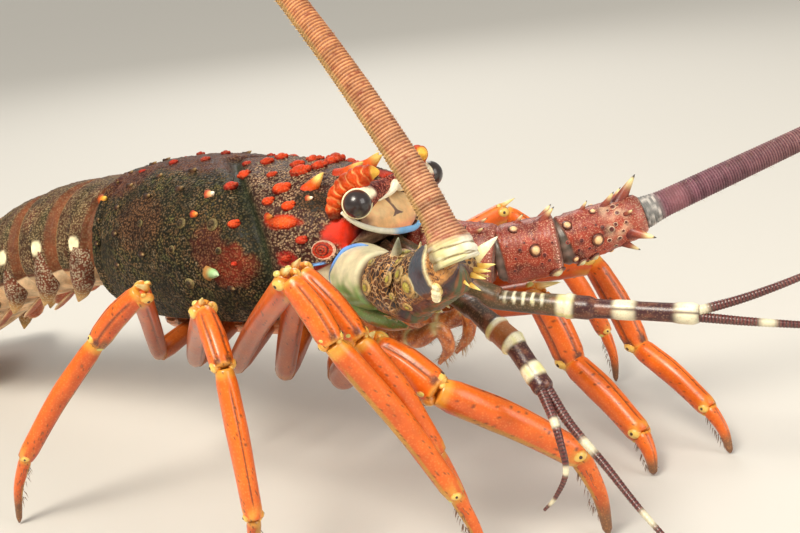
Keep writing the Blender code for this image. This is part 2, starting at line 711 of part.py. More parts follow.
def antennules(finish):
    """Each antennule: a jointed stem, then two thin branches that meet its end."""
    face = BODY.to_3x3() @ Vector((1, 0, 0))
    for label, places in ANTENNULES.items():
        root = BODY @ Vector((ANTENNULE_ROOT.x, ANTENNULE_ROOT.y * SIDES[label], ANTENNULE_ROOT.z))
        stem = [root] + [Vector(place) * MM for place in places["stem"]]
        tip_way = (stem[-1] - stem[-2]).normalized()
        radii = [r * MM for r in ANTENNULE_RADII]
        tube(f"antennule_{label}_stem", stem, radii, 8, finish, start_normal=face)
        across = tip_way.cross(Vector((0, 0, 1))).normalized()
        over = across.cross(tip_way).normalized()
        spread = over if label == "L" else -across
        for branch, way in (("outer", 1), ("inner", -1)):
            start = stem[-1] + tip_way * GAP + spread * way * 1.15 * MM
            points = [start] + [Vector(place) * MM for place in places[branch]]
            count = len(points)
            radii = [(1.0 - 0.65 * k / (count - 1)) * MM for k in range(count)]
            tube(f"antennule_{label}_{branch}", points, radii, 6, finish, start_normal=tip_way)


def maxillipeds(finish):
    """The leg-like outer mouthparts, folded under the face."""
    for label, side in SIDES.items():
        places = ((44, 6.0, -25), (50, 7.5, -27), (60, 9, -27.5), (68, 8.5, -24), (69, 6, -31), (64, 5, -37))
        path = [BODY @ (Vector((x, y * side, z)) * MM) for x, y, z in places]
        obj = tube(f"maxilliped_{label}", path, [r * MM for r in (3.4, 3.4, 3.2, 2.6, 2.2, 1.0)], 8, finish)
        cut(obj, body_hosts())


# Abdomen: length of each segment, downward slope, half width and height at its rear, in millimetres
SEGMENTS = (
    (19, 6, 28.5, 24.5),
    (22, 11, 29, 24.5),
    (22, 17, 28, 23.5),
    (22, 22, 26.5, 22),
    (21, 27, 24.5, 20.5),
    (23, 32, 22, 18.5),
)
ABDOMEN_START = Vector((-64, 0, 1)) * MM


def abdomen_joints():
    """Centre points of the joints between the abdomen's segments, in the standing frame."""
    points = [BODY @ ABDOMEN_START]
    for length, slope, _, _ in SEGMENTS:
        points.append(points[-1] + heading(180, -slope) * length * MM)
    return points


def abdomen_planes():
    """The direction across each joint of the abdomen, pointing to the tail."""
    joints = abdomen_joints()
    steps = [(b - a).normalized() for a, b in zip(joints, joints[1:])]
    forward = BODY.to_3x3() @ Vector((-1, 0, 0))
    return [forward] + [(a + b).normalized() for a, b in zip(steps, steps[1:])] + [steps[-1]]


def segment_ring(centre, plane, half, height, sides=20):
    """An arched outline with a shallow belly."""
    over = Vector((0, 1, 0)).cross(plane).normalized()
    ring = []
    for k in range(sides):
        angle = math.tau * k / sides
        c, s = math.cos(angle), math.sin(angle)
        y = math.copysign(abs(c) ** 0.9, c) * half
        z = s * height * (1.0 if s > 0 else 0.62)
        ring.append(centre + Vector((0, y, 0)) + over * z)
    return ring


def pleuron(a, b, side, half):
    """The pointed side plate that hangs from one abdominal segment."""
    down = Vector((0, 0, -1))
    back = (b - a).normalized()
    root = a.lerp(b, 0.42) + Vector((0, side * half * 0.9, 0))
    path = [root + Vector((0, -side * 2.2 * MM, 3.5 * MM))]
    for fall, sweep in ((5, 1), (11.5, 3.4), (16.5, 7)):
        path.append(root + down * fall * MM + back * sweep * MM)
    return tube("pleuron", path, [r * MM for r in (6.0, 5.2, 3.2, 0.4)], 8, up=Vector((0, 1, 0)), flat=1.0)


def swimmeret(a, b, side, half, drop):
    """The leaf-like flap under one abdominal segment."""
    root = a.lerp(b, 0.5) + Vector((0, side * half * 0.5, -drop))
    back = (b - a).normalized()
    way = (back * 0.8 + Vector((0, side * 0.25, -0.5))).normalized()
    path = [root, root + way * 4 * MM, root + way * 9 * MM, root + way * 13 * MM]
    return tube("flap", path, [r * MM for r in (0.8, 0.9, 0.8, 0.5)], 8, up=Vector((0, 0, 1)), flat=5.0)


def abdomen(finish):
    """Six overlapping tail segments with pleura and swimmerets, each its own node."""
    joints = abdomen_joints()
    planes = abdomen_planes()
    front_half, front_high = 27.5, 23.5
    for i, (_, _, half, high) in enumerate(SEGMENTS):
        a = joints[i] + planes[i] * (GAP if i == 0 else GAP / 2)
        b = joints[i + 1] - planes[i + 1] * GAP / 2
        rings = []
        for t, grown in ((-0.06, 0.9), (0.14, 0.93), (0.24, 1.0), (0.6, 1.02), (0.88, 1.0), (1.06, 0.94)):
            plane = (planes[i] * (1 - t) + planes[i + 1] * t).normalized()
            wide = (front_half + (half - front_half) * t) * grown * MM
            tall = (front_high + (high - front_high) * t) * grown * MM
            rings.append(segment_ring(a.lerp(b, t), plane, wide, tall))
        obj = loft(f"abdomen_{i + 1}", rings, finish)
        pieces = []
        for side in SIDES.values():
            pieces.append(pleuron(a, b, side, half * MM))
            if 1 <= i <= 4:
                pieces.append(swimmeret(a, b, side, half * MM, high * 0.58 * MM))
        fuse(obj, pieces)
        cutters = [slab(a, -planes[i]), slab(b, planes[i + 1])]
        cut(obj, cutters)
        front_half, front_high = half, high


# Tail fan: name, side, yaw from straight back, sideways and downward root offset, length, half width
FAN = (
    ("telson", 0, 0, 0, 3.5, 52, 13),
    ("uropod_R_inner", -1, 17, 9.5, -0.3, 50, 11.5),
    ("uropod_L_inner", 1, 17, 9.5, -0.3, 50, 11.5),
    ("uropod_R_outer", -1, 36, 14.5, -4.1, 48, 11.5),
    ("uropod_L_outer", 1, 36, 14.5, -4.1, 48, 11.5),
)
FAN_SLOPE = 20
# Share of the length, share of the half width and half thickness in millimetres along a fan blade
FAN_FORM = (
    (0.0, 0.42, 1.5), (0.1, 0.5, 1.6), (0.3, 0.78, 1.5), (0.6, 1.0, 1.2),
    (0.85, 0.96, 0.9), (0.96, 0.72, 0.7), (1.0, 0.45, 0.5),
)


def tail_fan(finish):
    """Telson and two pairs of uropods, laid in three tiers."""
    end = abdomen_joints()[-1]
    plane = abdomen_planes()[-1]
    over = Vector((0, 1, 0)).cross(plane).normalized()
    for name, side, yaw, out, lift, length, half in FAN:
        way = heading(180 - side * yaw, -FAN_SLOPE)
        start = end + plane * GAP / 2 + Vector((0, side * out * MM, 0)) + over * lift * MM
        rings = []
        across = way.cross(Vector((0, 0, 1))).normalized()
        lift_way = across.cross(way).normalized()
        for t, wide, thick in FAN_FORM:
            centre = start + way * length * t * MM + Vector((0, 0, 5 * t * t * MM))
            ring = []
            for k in range(10):
                c, s = math.cos(math.tau * k / 10), math.sin(math.tau * k / 10)
                spoke = across * math.copysign(abs(c) ** 0.8, c) * half * wide * MM
                spoke += lift_way * s * thick * MM
                if t == 0:
                    spoke -= way * (spoke.dot(plane) / way.dot(plane))
                ring.append(centre + spoke)
            rings.append(ring)
        loft(name, rings, finish)


def stand_on_origin():
    """Moves the whole animal so that the origin is the middle of the floor under it."""
    objs = [obj for obj in bpy.context.scene.objects if obj.type == "MESH"]
    points = [vert.co for obj in objs for vert in obj.data.vertices]
    low = Vector(map(min, zip(*points)))
    high = Vector(map(max, zip(*points)))
    shift = Vector((-(low.x + high.x) / 2, -(low.y + high.y) / 2, -low.z))
    for obj in objs:
        obj.data.transform(Matrix.Translation(shift))
    print("standing frame moved by", [round(value / MM, 3) for value in shift], "mm")


def main():
    clear_scene()
    shell = material("shell", (0.32, 0.06, 0.03), 0.5)
    orange = material("leg_shell", (0.75, 0.17, 0.03), 0.35)
    violet = material("antenna_shell", (0.35, 0.08, 0.07), 0.45)
    whip = material("whip_shell", (0.55, 0.28, 0.25), 0.5)
    banded = material("antennule_shell", (0.1, 0.03, 0.02), 0.35)
    peach = material("face_shell", (0.8, 0.4, 0.2), 0.4)
    cream = material("cream_shell", (0.7, 0.65, 0.4), 0.4)
    dark = material("eye_surface", (0.01, 0.01, 0.012), 0.08)
    carapace(shell)
    sternum(cream)
    face_plate(peach)
    epistome(cream)
    eyes(peach, dark)
    for label in LEG_PLACES:
        leg(label, orange)
    for label in SIDES:
        antenna_peduncle(label, violet)
    flagella(whip)
    antennules(banded)
    maxillipeds(orange)
    abdomen(shell)
    tail_fan(shell)
    stand_on_origin()


main()
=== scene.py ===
# %% [markdown]
# A spiny lobster, dressed for the studio
#
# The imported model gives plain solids: a shell, ten legs, two long antennae, two forked antennules, a
# jointed belly and a tail fan. This lesson puts a finished surface round each of them. Every new piece
# starts from a bmesh operator, is bent into place by a short function, and carries its own colours as a
# point attribute, which its material then breaks up with grain, netting or rings.

# %% Load the frame
import math
import random

import bmesh
import bpy
from mathutils import Matrix, Vector, noise


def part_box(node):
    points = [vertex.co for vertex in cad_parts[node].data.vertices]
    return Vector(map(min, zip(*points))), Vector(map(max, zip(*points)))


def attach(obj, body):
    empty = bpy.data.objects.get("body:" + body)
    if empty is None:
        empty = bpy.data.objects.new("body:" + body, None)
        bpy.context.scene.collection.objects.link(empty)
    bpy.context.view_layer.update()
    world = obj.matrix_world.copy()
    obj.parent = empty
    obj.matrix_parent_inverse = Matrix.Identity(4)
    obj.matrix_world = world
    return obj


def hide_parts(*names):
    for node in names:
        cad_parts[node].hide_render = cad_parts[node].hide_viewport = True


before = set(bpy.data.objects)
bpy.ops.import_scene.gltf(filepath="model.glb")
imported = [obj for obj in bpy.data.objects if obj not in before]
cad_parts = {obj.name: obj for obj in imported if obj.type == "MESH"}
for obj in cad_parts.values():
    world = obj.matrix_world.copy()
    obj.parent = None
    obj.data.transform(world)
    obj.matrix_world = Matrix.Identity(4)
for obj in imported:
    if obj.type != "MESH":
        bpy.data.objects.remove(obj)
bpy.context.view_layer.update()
MM = 0.001

# %% [markdown]
# The animal was laid out with its body axis through X, tipped head-up by three degrees and lifted to its
# standing height, and the whole was then moved over the origin. The centre of the near eye is known in
# the body's own frame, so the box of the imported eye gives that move, and every place below can be written
# in the body's frame or in the standing frame, in millimetres.

# %% Find where the body stands
BODY_HEIGHT = 78 * MM
BODY_PITCH = math.radians(3)
EYE_CENTRE = Vector((53, 20.2, 19)) * MM
EYE_RADIUS = 4.35 * MM
SIDES = {"R": -1, "L": 1}
BODY = Matrix.Translation((0, 0, BODY_HEIGHT)) @ Matrix.Rotation(-BODY_PITCH, 4, "Y")
low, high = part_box("eye_R")
SHIFT = (low + high) / 2 - BODY @ Vector((EYE_CENTRE.x, -EYE_CENTRE.y, EYE_CENTRE.z))
SHIFT.z = 0
print("standing frame moved by", [round(v / MM, 2) for v in SHIFT], "mm")

# %% [markdown]
# The camera looks from the animal's right front, a little above it. Its turn, height and tilt were read
# from the two eyes, the straight edge of the face and the feelers, which fan out towards the lens.

# %% Camera
CAMERA_PLACE = Vector((265.4, -295.5, 178.6)) * MM
VIEW_AZIMUTH, VIEW_ELEVATION, VIEW_ROLL = math.radians(36), math.radians(16), math.radians(-6)
FOCAL_PIXELS, IMAGE_WIDTH, SENSOR_WIDTH = 1180, 800, 36
a, e, roll = VIEW_AZIMUTH, VIEW_ELEVATION, VIEW_ROLL
back = Vector((math.sin(a) * math.cos(e), -math.cos(a) * math.cos(e), math.sin(e)))
right = Vector((math.cos(a), math.sin(a), 0))
over = back.cross(right)
right, over = right * math.cos(roll) + over * math.sin(roll), over * math.cos(roll) - right * math.sin(roll)
camera_data = bpy.data.cameras.new("camera")
camera_data.lens = FOCAL_PIXELS / IMAGE_WIDTH * SENSOR_WIDTH
camera_data.sensor_width = SENSOR_WIDTH
camera_data.clip_start = 0.01
camera = bpy.data.objects.new("camera", camera_data)
camera.matrix_world = Matrix.Translation(CAMERA_PLACE + SHIFT) @ Matrix((right, over, back)).transposed().to_4x4()
bpy.context.scene.collection.objects.link(camera)
bpy.context.scene.camera = camera
print("lens", round(camera_data.lens, 1), "mm")

# %% [markdown]
# A plain pale floor and soft lights keep the eye on the shell. One large lamp stands above and to the left
# of the camera, as the sun does in the water, a second fills the right, and a third rims the back. A weak and
# very broad sun lights the floor evenly far behind.

# %% Floor and light
FLOOR_COLOUR = (0.66, 0.64, 0.60)
floor_mesh = bpy.data.meshes.new("floor")
bm = bmesh.new()
bmesh.ops.create_grid(bm, x_segments=1, y_segments=1, size=60)
bm.to_mesh(floor_mesh)
bm.free()
floor = bpy.data.objects.new("floor", floor_mesh)
bpy.context.scene.collection.objects.link(floor)
floor_finish = bpy.data.materials.new("floor_paper")
floor_finish.use_nodes = True
floor_finish.node_tree.nodes["Principled BSDF"].inputs["Base Color"].default_value = (*FLOOR_COLOUR, 1)
floor_finish.node_tree.nodes["Principled BSDF"].inputs["Roughness"].default_value = 0.85
floor_mesh.materials.append(floor_finish)

LAMPS = (
    ("sky", (-0.10, -0.85, 1.30), 0.60, 1.20, (1.0, 0.95, 0.85)),
    ("key", (-0.05, -0.85, 1.00), 0.42, 11, (1.0, 0.93, 0.80)),
    ("fill", (1.05, -0.15, 0.60), 0.70, 6.2, (1.0, 0.97, 0.92)),
    ("rim", (-0.75, 0.75, 0.85), 0.60, 4.5, (1.0, 0.97, 0.92)),
)
for name, place, size, power, colour in LAMPS:
    lamp_data = bpy.data.lights.new(name, "SUN" if name == "sky" else "AREA")
    if name == "sky":
        lamp_data.angle = size
    else:
        lamp_data.size = size
    lamp_data.energy = power
    lamp_data.color = colour
    lamp = bpy.data.objects.new(name, lamp_data)
    aim = Vector((0, -0.05, 0.06))
    lamp.location = place
    lamp.rotation_euler = (Vector(place) - aim).to_track_quat("Z", "Y").to_euler()
    bpy.context.scene.collection.objects.link(lamp)
world = bpy.data.worlds.new("studio")
world.use_nodes = True
world.node_tree.nodes["Background"].inputs["Color"].default_value = (0.91, 0.88, 0.82, 1)
world.node_tree.nodes["Background"].inputs["Strength"].default_value = 0.42
bpy.context.scene.world = world
bpy.context.scene.view_settings.view_transform = "Standard"
print("lamps:", len(LAMPS))

# %% [markdown]
# Two helpers make almost every surface. wrap bends a flat grid of bmesh faces with a function of two
# shares: u runs along the piece and v runs round it, and the edges that meet are merged afterwards. A
# piece keeps two colours at each point: paint, the ground colour, whose alpha says how grainy the surface
# is there, and grain, the colour of the granules, netting or rings that lie on it.


# %% Grid and piece helpers
def fresh():
    """An empty bmesh with the two colour layers."""
    bm = bmesh.new()
    bm.verts.layers.float_color.new("paint")
    bm.verts.layers.float_color.new("grain")
    return bm


def colour_points(bm, verts, paint, grain=None):
    """Paints points with (red, green, blue, graininess) and the colour of their grain."""
    for vert in verts:
        vert[bm.verts.layers.float_color["paint"]] = paint if len(paint) == 4 else (*paint, 0.3)
        vert[bm.verts.layers.float_color["grain"]] = (*(grain or mix(paint, WHITE, 0.35))[:3], 1)


def wrap(bm, along, around, place):
    """Bends a grid with place(u, v), which gives a point, its paint and its grain."""
    paint_layer = bm.verts.layers.float_color["paint"]
    grain_layer = bm.verts.layers.float_color["grain"]
    made = bmesh.ops.create_grid(bm, x_segments=along, y_segments=around, size=1)["verts"]
    for vert in made:
        point, paint, grain = place((vert.co.x + 1) / 2, (vert.co.y + 1) / 2)
        vert.co = point
        vert[paint_layer] = paint
        vert[grain_layer] = (*grain[:3], 1)
    bmesh.ops.remove_doubles(bm, verts=made, dist=0.004 * MM)


def mix(a, b, share):
    """A blend of two colours."""
    return tuple(p + (q - p) * share for p, q in zip(a, b))


def step(low, high, value):
    """Smooth step from 0 below low to 1 above high."""
    t = min(max((value - low) / (high - low), 0.0), 1.0)
    return t * t * (3 - 2 * t)


def piece(name, bm, finish, slot, *nodes):
    """Turns a bmesh into a finished piece that stands for its CAD nodes."""
    bmesh.ops.translate(bm, verts=bm.verts, vec=SHIFT)
    bmesh.ops.recalc_face_normals(bm, faces=bm.faces)
    mesh = bpy.data.meshes.new(name)
    bm.to_mesh(mesh)
    bm.free()
    mesh.shade_smooth()
    mesh.materials.append(finish)
    obj = bpy.data.objects.new(name, mesh)
    bpy.context.scene.collection.objects.link(obj)
    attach(obj, "root")
    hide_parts(*nodes)
    mesh.calc_loop_triangles()
    print(f"{name}: {len(mesh.loop_triangles)} triangles for {len(nodes)} nodes")
    return obj


WHITE = (1.0, 1.0, 1.0)

# %% [markdown]
# A crustacean's shell is a hard, waxed surface: a satin ground with small granules, darker in the pits
# between them. The finish below reads paint and grain from the points, lays the grain colour on the round
# cells of a Voronoi pattern, and lifts them with a bump. The same tree makes netted shell, where the grain
# follows the edges of the cells instead, so one function serves both.


# %% Shell finish
def shell_finish(name, cell, depth, rough, net=False, coat=0.15, spread=0.35, speck=0.25):
    """A satin shell; cell is the size of its granules or meshes in metres and depth how far they rise."""
    made = bpy.data.materials.new(name)
    made.use_nodes = True
    tree = made.node_tree
    shader = tree.nodes["Principled BSDF"]
    place = tree.nodes.new("ShaderNodeTexCoord").outputs["Object"]

    def add(kind, links=(), **values):
        node = tree.nodes.new(kind)
        for key, value in values.items():
            if key in node.inputs:
                node.inputs[key].default_value = value
            else:
                setattr(node, key, value)
        for socket, source in links:
            tree.links.new(source, node.inputs[socket])
        return node

    paint = add("ShaderNodeAttribute", attribute_name="paint")
    grain = add("ShaderNodeAttribute", attribute_name="grain")
    wobble = add("ShaderNodeTexNoise", [("Vector", place)], Scale=0.45 / cell, Detail=2.0)
    bend = add("ShaderNodeVectorMath", [(0, wobble.outputs["Color"])], operation="SCALE")
    bend.inputs["Scale"].default_value = cell * (0.9 if net else 0.6)
    warped = add("ShaderNodeVectorMath", [(0, place), (1, bend.outputs[0])], operation="ADD")
    cells = add("ShaderNodeTexVoronoi", [("Vector", warped.outputs[0])], Scale=1 / cell)
    cells.feature = "DISTANCE_TO_EDGE" if net else "F1"
    mask = add("ShaderNodeMapRange", [("Value", cells.outputs["Distance"])])
    edges = (0.02, 0.115) if net else (spread * 0.55, spread * 1.35)
    mask.inputs["From Min"].default_value, mask.inputs["From Max"].default_value = edges
    mask.inputs["To Min"].default_value, mask.inputs["To Max"].default_value = 1.0, 0.0
    if not net:
        # the middle of each granule is a little darker, so that it reads as a small ring
        hollow = add("ShaderNodeMapRange", [("Value", cells.outputs["Distance"])])
        hollow.inputs["From Min"].default_value, hollow.inputs["From Max"].default_value = 0.04, spread * 0.7
        hollow.inputs["To Min"].default_value, hollow.inputs["To Max"].default_value = 0.55, 1.0
        mask = add("ShaderNodeMath", [(0, mask.outputs[0]), (1, hollow.outputs[0])], operation="MULTIPLY")
        # and every granule has a strength of its own
        lot = add("ShaderNodeMapRange", [("Value", cells.outputs["Color"])])
        lot.inputs["To Min"].default_value, lot.inputs["To Max"].default_value = 0.30, 1.25
        mask = add("ShaderNodeMath", [(0, mask.outputs[0]), (1, lot.outputs[0])], operation="MULTIPLY")
    amount = add("ShaderNodeMath", [(0, mask.outputs[0]), (1, paint.outputs["Alpha"])], operation="MULTIPLY")
    laid = add("ShaderNodeMix", data_type="RGBA")
    tree.links.new(amount.outputs[0], laid.inputs[0])
    tree.links.new(paint.outputs["Color"], laid.inputs[6])
    tree.links.new(grain.outputs["Color"], laid.inputs[7])
    cloud = add("ShaderNodeTexNoise", [("Vector", place)], Scale=150.0, Detail=5.0, Roughness=0.62)
    shade = add("ShaderNodeMapRange", [("Value", cloud.outputs["Fac"])])
    shade.inputs["From Min"].default_value, shade.inputs["From Max"].default_value = 0.3, 0.7
    shade.inputs["To Min"].default_value, shade.inputs["To Max"].default_value = 1 - speck, 1 + speck
    toned = add("ShaderNodeVectorMath", [(0, laid.outputs[2])], operation="SCALE")
    tree.links.new(shade.outputs[0], toned.inputs["Scale"])
    tree.links.new(toned.outputs[0], shader.inputs["Base Color"])
    fine = add("ShaderNodeTexNoise", [("Vector", place)], Scale=2600.0, Detail=3.0)
    lift = add("ShaderNodeMath", [(0, fine.outputs["Fac"])], operation="MULTIPLY")
    lift.inputs[1].default_value = 0.16
    height = add("ShaderNodeMath", [(0, amount.outputs[0]), (1, lift.outputs[0])], operation="ADD")
    bump = add("ShaderNodeBump", [("Height", height.outputs[0])], Strength=1.0, Distance=depth)
    tree.links.new(bump.outputs[0], shader.inputs["Normal"])
    worn = add("ShaderNodeMapRange", [("Value", cloud.outputs["Fac"])])
    worn.inputs["To Min"].default_value, worn.inputs["To Max"].default_value = rough - 0.1, rough + 0.14
    tree.links.new(worn.outputs[0], shader.inputs["Roughness"])
    shader.inputs["Coat Weight"].default_value = coat
    shader.inputs["Coat Roughness"].default_value = 0.22
    shader.inputs["Specular IOR Level"].default_value = 0.15 if coat < 0.1 else 0.5
    return made


granular = shell_finish("granular_shell", cell=0.8 * MM, depth=0.5 * MM, rough=0.46, coat=0.02, spread=0.44, speck=0.5)
smooth_shell = shell_finish("smooth_shell", cell=0.7 * MM, depth=0.08 * MM, rough=0.34, coat=0.3)
netted = shell_finish("netted_shell", cell=1.6 * MM, depth=0.35 * MM, rough=0.40, net=True, coat=0.2, speck=0.5)
fine_grain = shell_finish("fine_grain_shell", cell=0.55 * MM, depth=0.12 * MM, rough=0.42, spread=0.36, speck=0.35)
leg_finish = shell_finish("leg_shell", cell=0.8 * MM, depth=0.05 * MM, rough=0.34, coat=0.3, speck=0.16)
whip_finish = shell_finish("whip_shell", cell=0.6 * MM, depth=0.06 * MM, rough=0.48, coat=0.05)
print("finishes:", [m.name for m in bpy.data.materials if m.name.endswith("shell")])

# %% [markdown]
# The carapace is one rounded shield. Its half width and height along the back are a few measured pairs
# joined by a smooth curve, and a groove sweeps forward down each side behind the head. A point on it is
# named by its place along the body in millimetres and its angle from the top.

# %% Carapace form
HALF_WIDTH = ((-64, 27), (-50, 32), (-30, 35), (-8, 35.5), (14, 33.5), (32, 30), (43, 26.5), (49, 23.5))
DORSAL_HEIGHT = ((-64, 27), (-50, 30), (-30, 31.5), (-8, 30.5), (14, 28.5), (30, 27), (42, 24.5), (49, 21.5))
LOWER_MARGIN = ((-64, -19), (17, -18.7), (28, 0), (43, 1.5), (48.5, 6.5), (60, 6.5))
BELLY_DEPTH = 30
GROOVE_DEPTH, GROOVE_WIDTH = 0.085, 3.6
REAR, FRONT = -64, 49


def between(table, x):
    """Value at x of a smooth curve through a short table of pairs."""
    x = min(max(x, table[0][0]), table[-1][0])
    i = max(k for k in range(len(table) - 1) if table[k][0] <= x)
    (x0, y0), (x1, y1) = table[i], table[i + 1]
    before = table[i - 1] if i else table[i]
    after = table[i + 2] if i + 2 < len(table) else table[i + 1]
    slope0 = (y1 - before[1]) / (x1 - before[0])
    slope1 = (after[1] - y0) / (after[0] - x0)
    t, span = (x - x0) / (x1 - x0), x1 - x0
    return (
        (2 * t**3 - 3 * t**2 + 1) * y0 + (t**3 - 2 * t**2 + t) * span * slope0
        + (-2 * t**3 + 3 * t**2) * y1 + (t**3 - t**2) * span * slope1
    )


def straight(table, x):
    """Value at x of straight lines through a table of pairs."""
    x = min(max(x, table[0][0]), table[-1][0])
    i = max(k for k in range(len(table) - 1) if table[k][0] <= x)
    (x0, y0), (x1, y1) = table[i], table[i + 1]
    return y0 + (y1 - y0) * (x - x0) / (x1 - x0)


def groove_centre(angle):
    """Where the groove crosses the shell at an angle, in millimetres along the body."""
    return -13 + 34 * math.sin(min(abs(angle), math.pi / 2))


def shell_point(x, angle, grow=0.0):
    """A point of the carapace in the body frame, in millimetres."""
    half, top = between(HALF_WIDTH, x), between(DORSAL_HEIGHT, x)
    base = BELLY_DEPTH * half / 35
    draw = 1 - GROOVE_DEPTH * math.exp(-(((x - groove_centre(angle)) / GROOVE_WIDTH) ** 2))
    y = math.copysign(abs(math.sin(angle)) ** 0.92, angle) * (half * draw + grow)
    z = math.cos(angle) * ((top if math.cos(angle) > 0 else base) * draw + grow)
    return Vector((x, y, z))


def shell_normal(x, angle):
    """Outward direction of the carapace."""
    along = shell_point(min(x + 0.5, FRONT), angle) - shell_point(x - 0.5, angle)
    around = shell_point(x, angle + 0.02) - shell_point(x, angle - 0.02)
    return -around.cross(along).normalized()


def margin_angle(x, margin):
    """The angle at which the side reaches the height of its lower margin."""
    reach = between(DORSAL_HEIGHT, x) if margin > 0 else BELLY_DEPTH * between(HALF_WIDTH, x) / 35
    return math.acos(max(-1.0, min(1.0, margin / reach)))


print("shell at its widest:", round(2 * between(HALF_WIDTH, -8), 1), "mm")

# %% [markdown]
# The colours of the shield follow the animal's own map. Behind the groove it is dark olive and brown under
# dense granules, in front maroon-brown with fine pale grains. Orange-red tubercles, a long orange patch on
# the cheek, a ringed knob above the leg and a smooth red cheek under the eye stand out, and the front
# margin has a thin blue line.

# %% Carapace colours
ORANGE, RED_ORANGE, DEEP_RED = (0.88, 0.13, 0.012), (0.74, 0.045, 0.008), (0.28, 0.015, 0.010)
OLIVE, OLIVE_GRAIN = (0.011, 0.010, 0.004), (0.21, 0.185, 0.065)
MAROON, PALE_GRAIN = (0.042, 0.012, 0.008), (0.58, 0.38, 0.22)
GROOVE_GREEN, YELLOW, CREAM = (0.013, 0.020, 0.010), (0.82, 0.60, 0.14), (0.82, 0.74, 0.50)
BLUE = (0.16, 0.36, 0.72)
# Coloured patches of each side: place along the body, angle in degrees, half length, half width, colour
PATCHES = (
    (27.2, 57.5, 6.2, 2.6, (0.56, 0.035, 0.008), 0.5),
    (8.6, 86, 9.0, 8.0, (0.14, 0.018, 0.007), 0.95),
    (29.8, 81, 3.4, 3.0, DEEP_RED, 0.6),
    (46.5, 63, 5.4, 5.8, (0.58, 0.022, 0.003), 0.0),
    (-20, 6, 22, 9, (0.048, 0.010, 0.006), 0.75),
    (-52, 20, 12, 12, (0.050, 0.011, 0.007), 0.8),
    (-34, 60, 12, 10, (0.024, 0.011, 0.005), 0.95),
    (0, 74, 6, 8, (0.055, 0.012, 0.006), 0.95),
    (36, 40, 7, 5, (0.020, 0.014, 0.008), 0.7),
    (45.5, 14, 3.4, 7, (0.50, 0.026, 0.004), 0.5),
)


def carapace_colour(x, angle):
    """Paint and grain of the shield at a place along the body and an angle."""
    side_mm = abs(angle) * 33
    drift = noise.noise(Vector((x, angle * 33, 3)) * 0.09)
    speckle = noise.noise(Vector((x, angle * 33, 8)) * 0.35)
    front = step(-4, 5, x - groove_centre(angle) + 2.5 * drift)
    paint = mix(OLIVE, MAROON, front)
    grain = mix(mix(OLIVE_GRAIN, (0.26, 0.10, 0.05), 0.5 + speckle), PALE_GRAIN, front)
    grain = mix(grain, (0.42, 0.38, 0.22), step(0.15, 0.5, speckle) * 0.6)
    amount = 0.95 - 0.5 * step(-0.1, 0.45, noise.noise(Vector((x, angle * 33, 12)) * 0.07))
    for place, degrees, length, width, colour, rough in PATCHES:
        dx, dy = (x - place) / length, (side_mm - math.radians(degrees) * 33) / width
        share = 1 - step(0.75, 1.25, math.hypot(dx, dy) + 0.35 * speckle)
        paint = mix(paint, colour, share)
        grain = mix(grain, mix(colour, (1.0, 0.48, 0.22), 0.24), share)
        amount += (rough - amount) * share
    depth = math.exp(-(((x - groove_centre(angle) - 1) / 3.6) ** 2))
    paint, amount = mix(paint, GROOVE_GREEN, depth * 0.9), amount * (1 - 0.55 * depth)
    grain = mix(grain, (0.10, 0.12, 0.05), depth * 0.8)
    return paint, grain, amount


# %% [markdown]
# The shield itself is a closed skin: the grid runs over the back from margin to margin, returns under the
# body, and its first and last rows close on the middle. Granules big enough to see are lifted in the mesh,
# the finer ones are left to the finish. Only the grid's points move, so it stays one clean surface.

# %% Carapace skin
SKIN_ROWS, SKIN_ROUND = 280, 240
UNDERSIDE = 0.08
CAP = 0.035


def skin_place(u, v):
    """A point of the closed skin with its colours."""
    run = min(max((u - CAP) / (1 - 2 * CAP), 0), 1)
    x = REAR + (FRONT - REAR) * run
    margin = straight(LOWER_MARGIN, x)
    end = margin_angle(x, margin)
    rim = math.exp(-(((x - REAR - 1.6) / 1.3) ** 2)) * 0.8 - math.exp(-(((x - REAR - 5.2) / 1.5) ** 2)) * 0.9
    if v < 1 - UNDERSIDE:
        angle = end - 2 * end * v / (1 - UNDERSIDE)
        point = shell_point(x, angle)
        paint, grain, amount = carapace_colour(x, angle)
        reach = (end - abs(angle)) * 33
        cell = noise.voronoi(point / 2.1)[0][0]
        lump = max(0.0, 0.6 - cell) * 0.85 * amount * step(0.4, 2.0, reach)
        wave = 0.35 * noise.noise(point * 0.12) + rim + 0.5 * math.exp(-((reach / 1.1) ** 2))
        inset = 3 - 3 * math.sqrt(max(0.0, 1 - (max(x - FRONT + 3, 0) / 3) ** 2))
        point += shell_normal(x, angle) * (lump + wave - inset)
        blue = step(31, 33, x) * (1 - step(41, 43, x)) * (1 - step(0.9, 1.6, reach))
        paint, grain = mix(paint, BLUE, blue), mix(grain, BLUE, blue)
        amount *= 1 - blue
    else:
        across = 1 - 2 * (v - 1 + UNDERSIDE) / UNDERSIDE
        point = shell_point(x, -end)
        point = Vector((x, point.y * across, max(point.z, margin) if abs(across) == 1 else margin))
        paint, grain, amount = (0.30, 0.17, 0.10), CREAM, 0.2
    cap = min(u / CAP, (1 - u) / CAP, 1.0)
    if cap < 1:
        if u > 0.5:
            paint, amount = mix((0.09, 0.028, 0.026), paint, step(0.35, 0.95, cap)), amount * cap
        middle = Vector((x, 0, (between(DORSAL_HEIGHT, x) + margin) / 2))
        point = middle.lerp(point, math.sin(cap * math.pi / 2) ** 0.7)
    return BODY @ (point * MM), (*paint, amount), grain


shield = fresh()
wrap(shield, SKIN_ROWS, SKIN_ROUND, skin_place)
print("skin points:", len(shield.verts))

